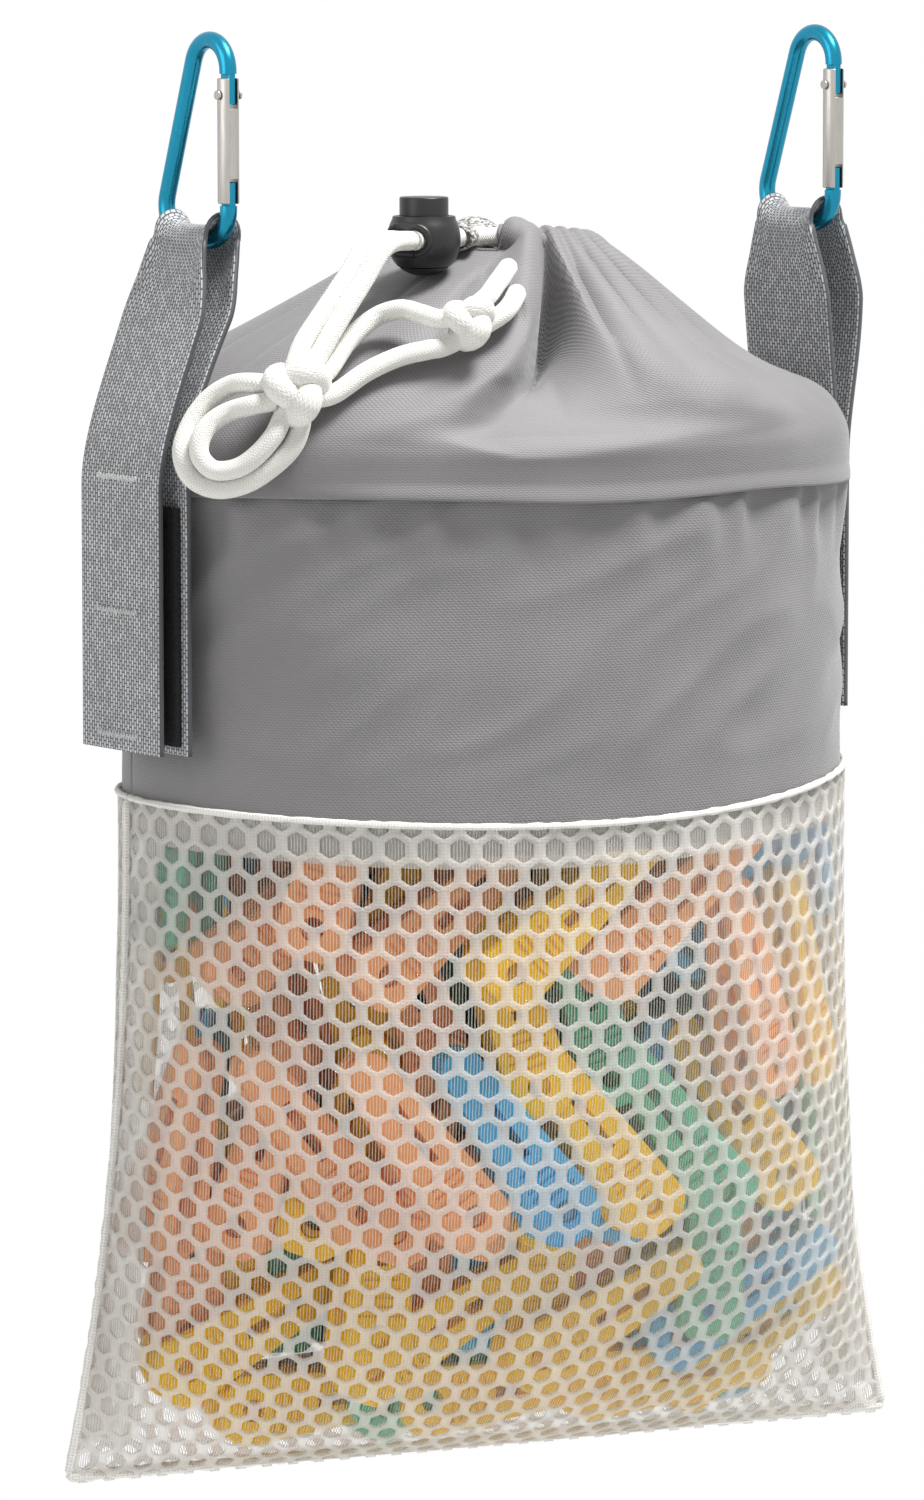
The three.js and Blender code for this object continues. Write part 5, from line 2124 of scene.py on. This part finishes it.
@dataclass
class PegLoad:
    """The pegs in the net: spring pegs with a hole in each foot and ribbed grips."""

    form: BagForm
    length: float = 66.0
    width: float = 21.0
    jaw_width: float = 12.0
    foot_corner: float = 5.0
    jaw_corner: float = 3.0
    lever: float = 4.2
    lever_round: Pair = (1.4, 0.6)  # the corners of its outline, and then its rims
    spread: float = 18.0
    jaw: float = 9.4
    coil: float = 3.6
    hole: float = 3.4
    hole_rise: float = 9.0
    window: tuple[float, float, float] = (3.2, 20.0, 20.0)
    window_z: float = 6.0
    ribs: int = 5
    rib_rise: float = 15.0
    rib_pitch: float = 2.6
    groove: Pair = (1.2, 1.1)
    groove_inset: float = 7.0
    groove_taper: float = 0.8
    gap: float = 0.6
    wall_gap: float = 0.7
    step: float = 2.0
    deepest: float = 64.0

    rows = (
        PegRow(Wall.FRONT, 0.22, 64, "yyyb"),
        PegRow(Wall.BACK, 0.22, -64, "bgy"),
        PegRow(Wall.FRONT, 0.515, -36, "ppbygy"),
        PegRow(Wall.BACK, 0.515, 50, "pybg"),
        PegRow(Wall.FRONT, 0.86, 50, "ppypb"),
        PegRow(Wall.BACK, 0.86, -60, "ygp"),
    )
    # Pegs that fill the rest of the bag, pushed in from the wall until they have room
    loose = (
        PegRow(Wall.FRONT, 0.1, 88, "gyyyb", square=True, nesting=0.3),
        PegRow(Wall.FRONT, 0.24, -14, "byyyybyyyb"),
        PegRow(Wall.FRONT, 0.50, 18, "ppyppybgyg"),
        PegRow(Wall.FRONT, 0.72, -16, "ppypygypyb"),
        PegRow(Wall.FRONT, 0.97, 14, "gppypyyppb"),
        PegRow(Wall.BACK, 0.1, 88, "gbypy", square=True, nesting=0.3),
        PegRow(Wall.BACK, 0.24, 14, "ygbpypbyg"),
        PegRow(Wall.BACK, 0.50, -18, "bypgypgbp"),
        PegRow(Wall.BACK, 0.72, 16, "pgyypbygy"),
        PegRow(Wall.BACK, 0.97, -14, "ybgpypbgp"),
        PegRow(Wall.FRONT, 0.15, 62, "yyygybyy", square=True, nesting=0.4),
        PegRow(Wall.FRONT, 0.34, 4, "pypygypbypygpbyp", square=True, nesting=0.5),
        PegRow(Wall.BACK, 0.34, -4, "ypgypbypgypbygyp", square=True, nesting=0.5),
        *(
            PegRow(wall, rise, wall.value * tilt, "pypyygypbgyp", square=True)
            for wall in Wall
            for rise, tilt in ((0.24, 35), (0.28, 8), (0.45, -6), (0.62, 7), (0.8, -8), (0.95, 6))
        ),
    )

    def _outline(self) -> list[Pair]:
        """Gives a lever's outline.

        Returns:
            Its corners, across and along it.
        """
        half, jaw, end = self.width / 2, self.jaw_width / 2, self.length / 2
        right = [(half - self.foot_corner, -end), (half, self.foot_corner - end)]
        right += [(jaw, end - self.jaw_corner), (jaw - self.jaw_corner, end)]
        return right + [(-x, z) for x, z in reversed(right)]

    def _half_depth(self, along: float) -> float:
        """Half the peg's depth at a distance from its middle."""
        return mix(self.spread, self.jaw, along / self.length + 0.5) / 2

    def _blank(self) -> BMesh:
        """Makes a lever before it is cut.

        Returns:
            A rounded plate in XZ, its outer face towards -Y.
        """
        corners = self._outline()
        bm = bmesh.new()
        bmesh.ops.create_circle(bm, cap_ends=True, segments=len(corners), radius=1.0)
        order = sorted(bm.verts, key=lambda v: math.atan2(v.co.y, v.co.x))
        placed = sorted(corners, key=lambda c: math.atan2(c[1], c[0]))
        for vert, (x, z) in zip(order, placed):
            vert.co = spot(x, 0, z)
        bmesh.ops.recalc_face_normals(bm, faces=bm.faces)
        grown = bmesh.ops.extrude_face_region(bm, geom=bm.faces[:])
        moved = [v for v in grown["geom"] if isinstance(v, BMVert)]
        bmesh.ops.translate(bm, verts=moved, vec=spot(0, -self.lever, 0))
        bmesh.ops.recalc_face_normals(bm, faces=bm.faces)
        upright = [e for e in bm.edges if abs(e.verts[0].co.y - e.verts[1].co.y) > 1e-6]
        round_edges(bm, upright, self.lever_round[0] * MM)
        rim = [e for e in bm.edges if e.calc_face_angle(0.0) > 1.0]
        round_edges(bm, rim, self.lever_round[1] * MM, segments=2)
        return bm

    def _lever(self) -> BMesh:
        """Makes one lever.

        Returns:
            A blank with the hole in its foot, the spring's window and the grooves between its ribs.
        """
        foot = -self.length / 2
        through = Matrix.Rotation(math.pi / 2, 4, "X")
        hole_place = Matrix.Translation(spot(0, 0, foot + self.hole_rise)) @ through
        cutters = [
            barrel(self.hole * MM, self.window[1] * MM, hole_place, 20),
            block(spot(*self.window), spot(0, 0, self.window_z)),
        ]
        for i in range(self.ribs):
            wide = self.width - self.groove_inset - self.groove_taper * i
            z = foot + self.rib_rise + self.rib_pitch * i
            cutters.append(block(spot(wide, *self.groove), spot(0, -self.lever, z)))
        return carve(self._blank(), cutters)

    def _peg(self) -> BMesh:
        """Makes a whole peg.

        Returns:
            Two levers and the spring between them, along Z with the jaws up.
        """
        lean = math.atan2((self.spread - self.jaw) / 2, self.length)
        shift = Matrix.Translation(spot(0, self.lever - (self.spread + self.jaw) / 4, 0))
        front = self._lever()
        front.transform(shift @ Matrix.Rotation(-lean, 4, "X"))
        back = front.copy()
        back.transform(Matrix.Rotation(math.pi, 4, "Z"))
        across = Matrix.Translation(spot(0, 0, self.length / 8)) @ Matrix.Rotation(math.pi / 2, 4, "Y")
        coil = barrel(self.coil * MM, self.jaw_width * MM, across, 16)
        return join_meshes([front, back, coil])

    def _room(self, x: float, z: float, angle: float) -> float:
        """Finds where a peg lies against the wall.

        Args:
            x: Its middle.
            z: Its height.
            angle: Its tilt.

        Returns:
            Distance of its middle from the middle plane.
        """
        form = self.form
        rooms = []
        for across, along in self._outline():
            corner_x = x + along * math.sin(angle) + across * math.cos(angle)
            corner_z = z + along * math.cos(angle) - across * math.sin(angle)
            behind_cloth = corner_z > form.net_top_z - form.lap - form.lap_gap
            short = (form.net + form.lap_gap + form.cloth if behind_cloth else form.net) + self.wall_gap
            rooms.append(form.inside(corner_x, corner_z, short) - self._half_depth(along))
        return min(rooms)

    def _overlap(self, one: Matrix, other: Matrix, nesting: float) -> bool:
        """Tells whether the cores of two pegs meet.

        Args:
            one: Place of the first.
            other: Place of the second.
            nesting: The core's share of a peg's box; open, tapered pegs reach into each other beyond it.

        Returns:
            False where an axis of either box, or across both, parts them.
        """
        half = spot(self.width, self.spread, self.length) * nesting / 2
        between = other.translation - one.translation
        if between.length > 2 * half.length:
            return False
        axes = [box.col[i].to_3d() for box in (one, other) for i in range(3)]
        for axis in [*axes, *(a.cross(b) for a in axes[:3] for b in axes[3:])]:
            reach = sum(size * abs(axis.dot(a)) for size, a in zip((*half, *half), axes))
            if abs(between.dot(axis)) > reach + 1e-9:
                return False
        return True

    def _inside(self, place: Matrix) -> bool:
        """Tells whether a peg lies inside the bag's walls.

        Args:
            place: The peg's place.

        Returns:
            True where all of its corners are inside.
        """
        form = self.form
        for across, along in self._outline():
            for sign in (-1, 1):
                x, y, z = place @ spot(across, sign * self._half_depth(along), along) / MM
                short = form.net + self.wall_gap + (form.cloth if z > form.net_top_z - form.lap else 0.0)
                if abs(y) > form.inside(x, z, short):
                    return False
        return True

    def _settle(self, row: PegRow, share: float, taken: Sequence[Matrix]) -> Matrix | None:
        """Finds room for a loose peg.

        Args:
            row: Its row, with the wall, height and tilt.
            share: Where along the wall it starts.
            taken: The places of the pegs so far.

        Returns:
            Its place, flat against the wall or as far in as the other pegs push it; None if there is none.
        """
        z = mix(self.form.bottom_z, self.form.net_top_z, row.rise)
        start = self.form.even(row.wall, share, z)
        run = self.form.even(row.wall, share + 0.01, z) - self.form.even(row.wall, share - 0.01, z)
        out = Vector((0, row.wall.value, 0)) if row.square else Vector((run.y, -run.x, 0)).normalized()
        facing = Matrix.Rotation(math.atan2(out.x, -out.y), 4, "Z")
        turn = facing @ Matrix.Rotation(math.radians(row.tilt), 4, "Y")
        depth = self.spread / 2
        while depth < self.deepest:
            place = Matrix.Translation((start - out * depth) * MM) @ turn
            if self._inside(place) and not any(self._overlap(place, other, row.nesting) for other in taken):
                return place
            depth += self.step
        return None

    def build_rows(self, pattern: BMesh) -> list[Matrix]:
        """Builds every peg that has a solid, where that lies.

        Args:
            pattern: The peg that is copied.

        Returns:
            The places of these pegs.
        """
        taken: list[Matrix] = []
        for row in self.rows:
            angle = math.radians(row.tilt)
            pitch = (self.width + self.gap) / math.cos(angle)
            z = mix(self.form.bottom_z, self.form.net_top_z, row.rise)
            for i, letter in enumerate(row.colours):
                x = (i - (len(row.colours) - 1) / 2) * pitch
                middle = spot(x, row.wall.value * self._room(x, z, angle), z)
                taken.append(Matrix.Translation(middle) @ Matrix.Rotation(angle, 4, "Y"))
                bm = pattern.copy()
                bm.transform(taken[-1])
                colour = PegColour(letter)
                number = len(taken)
                slot, nodes = f"peg_{colour.label}", [f"peg_{number}"]
                make_piece(bm, f"spring_peg_{number}", PEG_PLASTIC[colour], BAG, slot, nodes, CARVED)
        return taken

    def build_heaps(self, pattern: BMesh, taken: list[Matrix]) -> None:
        """Builds the loose pegs, joined by colour.

        Args:
            pattern: The peg that is copied.
            taken: The places of the pegs so far; the loose ones are added.
        """
        heaps: dict[PegColour, list[BMesh]] = {colour: [] for colour in PegColour}
        for row in self.loose:
            for i, letter in enumerate(row.colours):
                place = self._settle(row, (i + 0.5) / len(row.colours), taken)
                if place:
                    taken.append(place)
                    heaps[PegColour(letter)].append(pattern.copy())
                    heaps[PegColour(letter)][-1].transform(place)
        for colour, heap in heaps.items():
            LOG.info("%d loose %s pegs", len(heap), colour.label)
            name, slot = f"loose_{colour.label}_pegs", f"peg_{colour.label}"
            make_piece(join_meshes(heap), name, PEG_PLASTIC[colour], BAG, slot, sharp=CARVED)

    def build(self) -> None:
        """Builds the pegs that have a solid, and then the loose ones."""
        pattern = self._peg()
        self.build_heaps(pattern, self.build_rows(pattern))
        pattern.free()


# The stage


@dataclass(frozen=True)
class Lamp:
    """A soft lamp: where it stands round the object, in degrees, its size in metres and its watts."""

    name: str
    azimuth: float
    elevation: float
    size: float
    energy: float


@dataclass
class Stage:
    """Camera, light and floor, as in a studio with a white background."""

    azimuth: float = math.radians(-22)
    elevation: float = math.radians(7)
    distance: float = 2.0
    target: tuple[float, float, float] = (-0.007, 0.0, -0.1974)
    lens: float = 168.0
    lamps: tuple[Lamp, ...] = (Lamp("key", 38, 66, 0.5, 45.0), Lamp("fill", -80, 20, 1.2, 7.0))
    lamp_distance: float = 1.7
    world_light: float = 0.3
    white_rays: tuple[str, ...] = ("Camera", "Glossy", "Transmission")
    floor_z: float = -0.62
    floor_size: float = 8.0
    floor_colour: str = "F4F4F4"

    def _put(self, name: str, data: Any, azimuth: float, elevation: float, distance: float) -> Object:
        """Stands a camera or a lamp round the object, facing it.

        Args:
            name: Its name.
            data: The camera or the lamp.
            azimuth: Turn from the front, in radians.
            elevation: Turn upwards.
            distance: How far from the target it stands, in metres.

        Returns:
            The new object.
        """
        flat = math.cos(elevation)
        way = Vector((math.sin(azimuth) * flat, -math.cos(azimuth) * flat, math.sin(elevation)))
        placed = bpy.data.objects.new(name, data)
        placed.location = Vector(self.target) + way * distance
        placed.rotation_euler = way.to_track_quat("Z", "Y").to_euler()
        bpy.context.scene.collection.objects.link(placed)
        return placed

    def build_camera(self) -> None:
        """Builds the camera at the photograph's angle."""
        data = bpy.data.cameras.new("camera")
        data.lens = self.lens
        bpy.context.scene.camera = self._put("camera", data, self.azimuth, self.elevation, self.distance)

    def _shows_white(self, tree: NodeTree) -> NodeSocket:
        """1 for rays that see the background: the camera's, and those the object mirrors or passes on."""
        camera, *others = (add_node(tree, "LightPath").outputs[f"Is {kind} Ray"] for kind in self.white_rays)
        return reduce(lambda seen, ray: combine(tree, "MAXIMUM", seen, ray), others, camera)

    def build_light(self) -> None:
        """Builds a large soft key from the upper right, a weaker fill from the left, and a white world."""
        for lamp in self.lamps:
            data = bpy.data.lights.new(lamp.name, "AREA")
            data.size = lamp.size
            data.energy = lamp.energy
            turns = math.radians(lamp.azimuth), math.radians(lamp.elevation)
            self._put(lamp.name, data, *turns, self.lamp_distance)
        world = bpy.data.worlds.new("studio")
        world.use_nodes = True
        bpy.context.scene.world = world
        tree = world.node_tree
        strength = remap(tree, self._shows_white(tree), (0, 1), (self.world_light, 1.0))
        set_inputs(tree, tree.nodes["Background"], {"Strength": strength, "Color": (1, 1, 1, 1)})
        bpy.context.scene.view_settings.view_transform = "Standard"

    def _floor_material(self) -> Material:
        """Builds the floor's material.

        Returns:
            Pale and matt for the light that the object gets from it, and seen as the white background.
        """
        material = bpy.data.materials.new("white_studio_floor")
        material.use_nodes = True
        tree = material.node_tree
        shader = tree.nodes["Principled BSDF"]
        set_inputs(tree, shader, {"Base Color": linear(self.floor_colour), "Roughness": 0.9})
        glow = add_node(tree, "Emission", {"Color": (1, 1, 1, 1), "Strength": 1.0})
        layers = {0: self._shows_white(tree), 1: shader.outputs["BSDF"], 2: glow.outputs["Emission"]}
        both = add_node(tree, "MixShader", layers)
        set_inputs(tree, tree.nodes["Material Output"], {"Surface": both.outputs["Shader"]})
        return material

    def build_floor(self) -> None:
        """Builds a pale floor below the bag."""
        bm = bmesh.new()
        bmesh.ops.create_grid(bm, x_segments=1, y_segments=1, size=self.floor_size)
        bm.transform(Matrix.Translation((0, 0, self.floor_z)))
        mesh = bpy.data.meshes.new("floor")
        bm.to_mesh(mesh)
        bm.free()
        mesh.materials.append(self._floor_material())
        floor = bpy.data.objects.new("floor", mesh)
        bpy.context.scene.collection.objects.link(floor)
        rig.stage(floor)

    def build(self) -> None:
        """Builds all of the stage."""
        self.build_camera()
        self.build_light()
        self.build_floor()


def main() -> None:
    """Builds the peg bag in order and writes how its size compares with the solids' box."""
    logging.basicConfig(level=logging.INFO, format="%(name)s: %(message)s")
    solids = [list(map(float, corner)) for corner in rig.bounds()]
    form = BagForm()
    drawstring = Drawstring()
    assemblies = (
        Stage(),
        drawstring,
        CordLock(drawstring),
        Hood(form),
        UpperCloth(form),
        NetPanels(form),
        Hanger(form, Side.LEFT, -88, -15, inner=18.57),
        Hanger(form, Side.RIGHT, 111, 18, inner=-4.42),
        PegLoad(form),
    )
    for assembly in assemblies:
        assembly.build()
    dressed = [list(map(float, corner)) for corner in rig.bounds()]
    with open(SIZE_FILE, "w", encoding="utf-8") as file:
        json.dump({"cad": solids, "visual": dressed}, file)


if __name__ == "__main__":
    main()
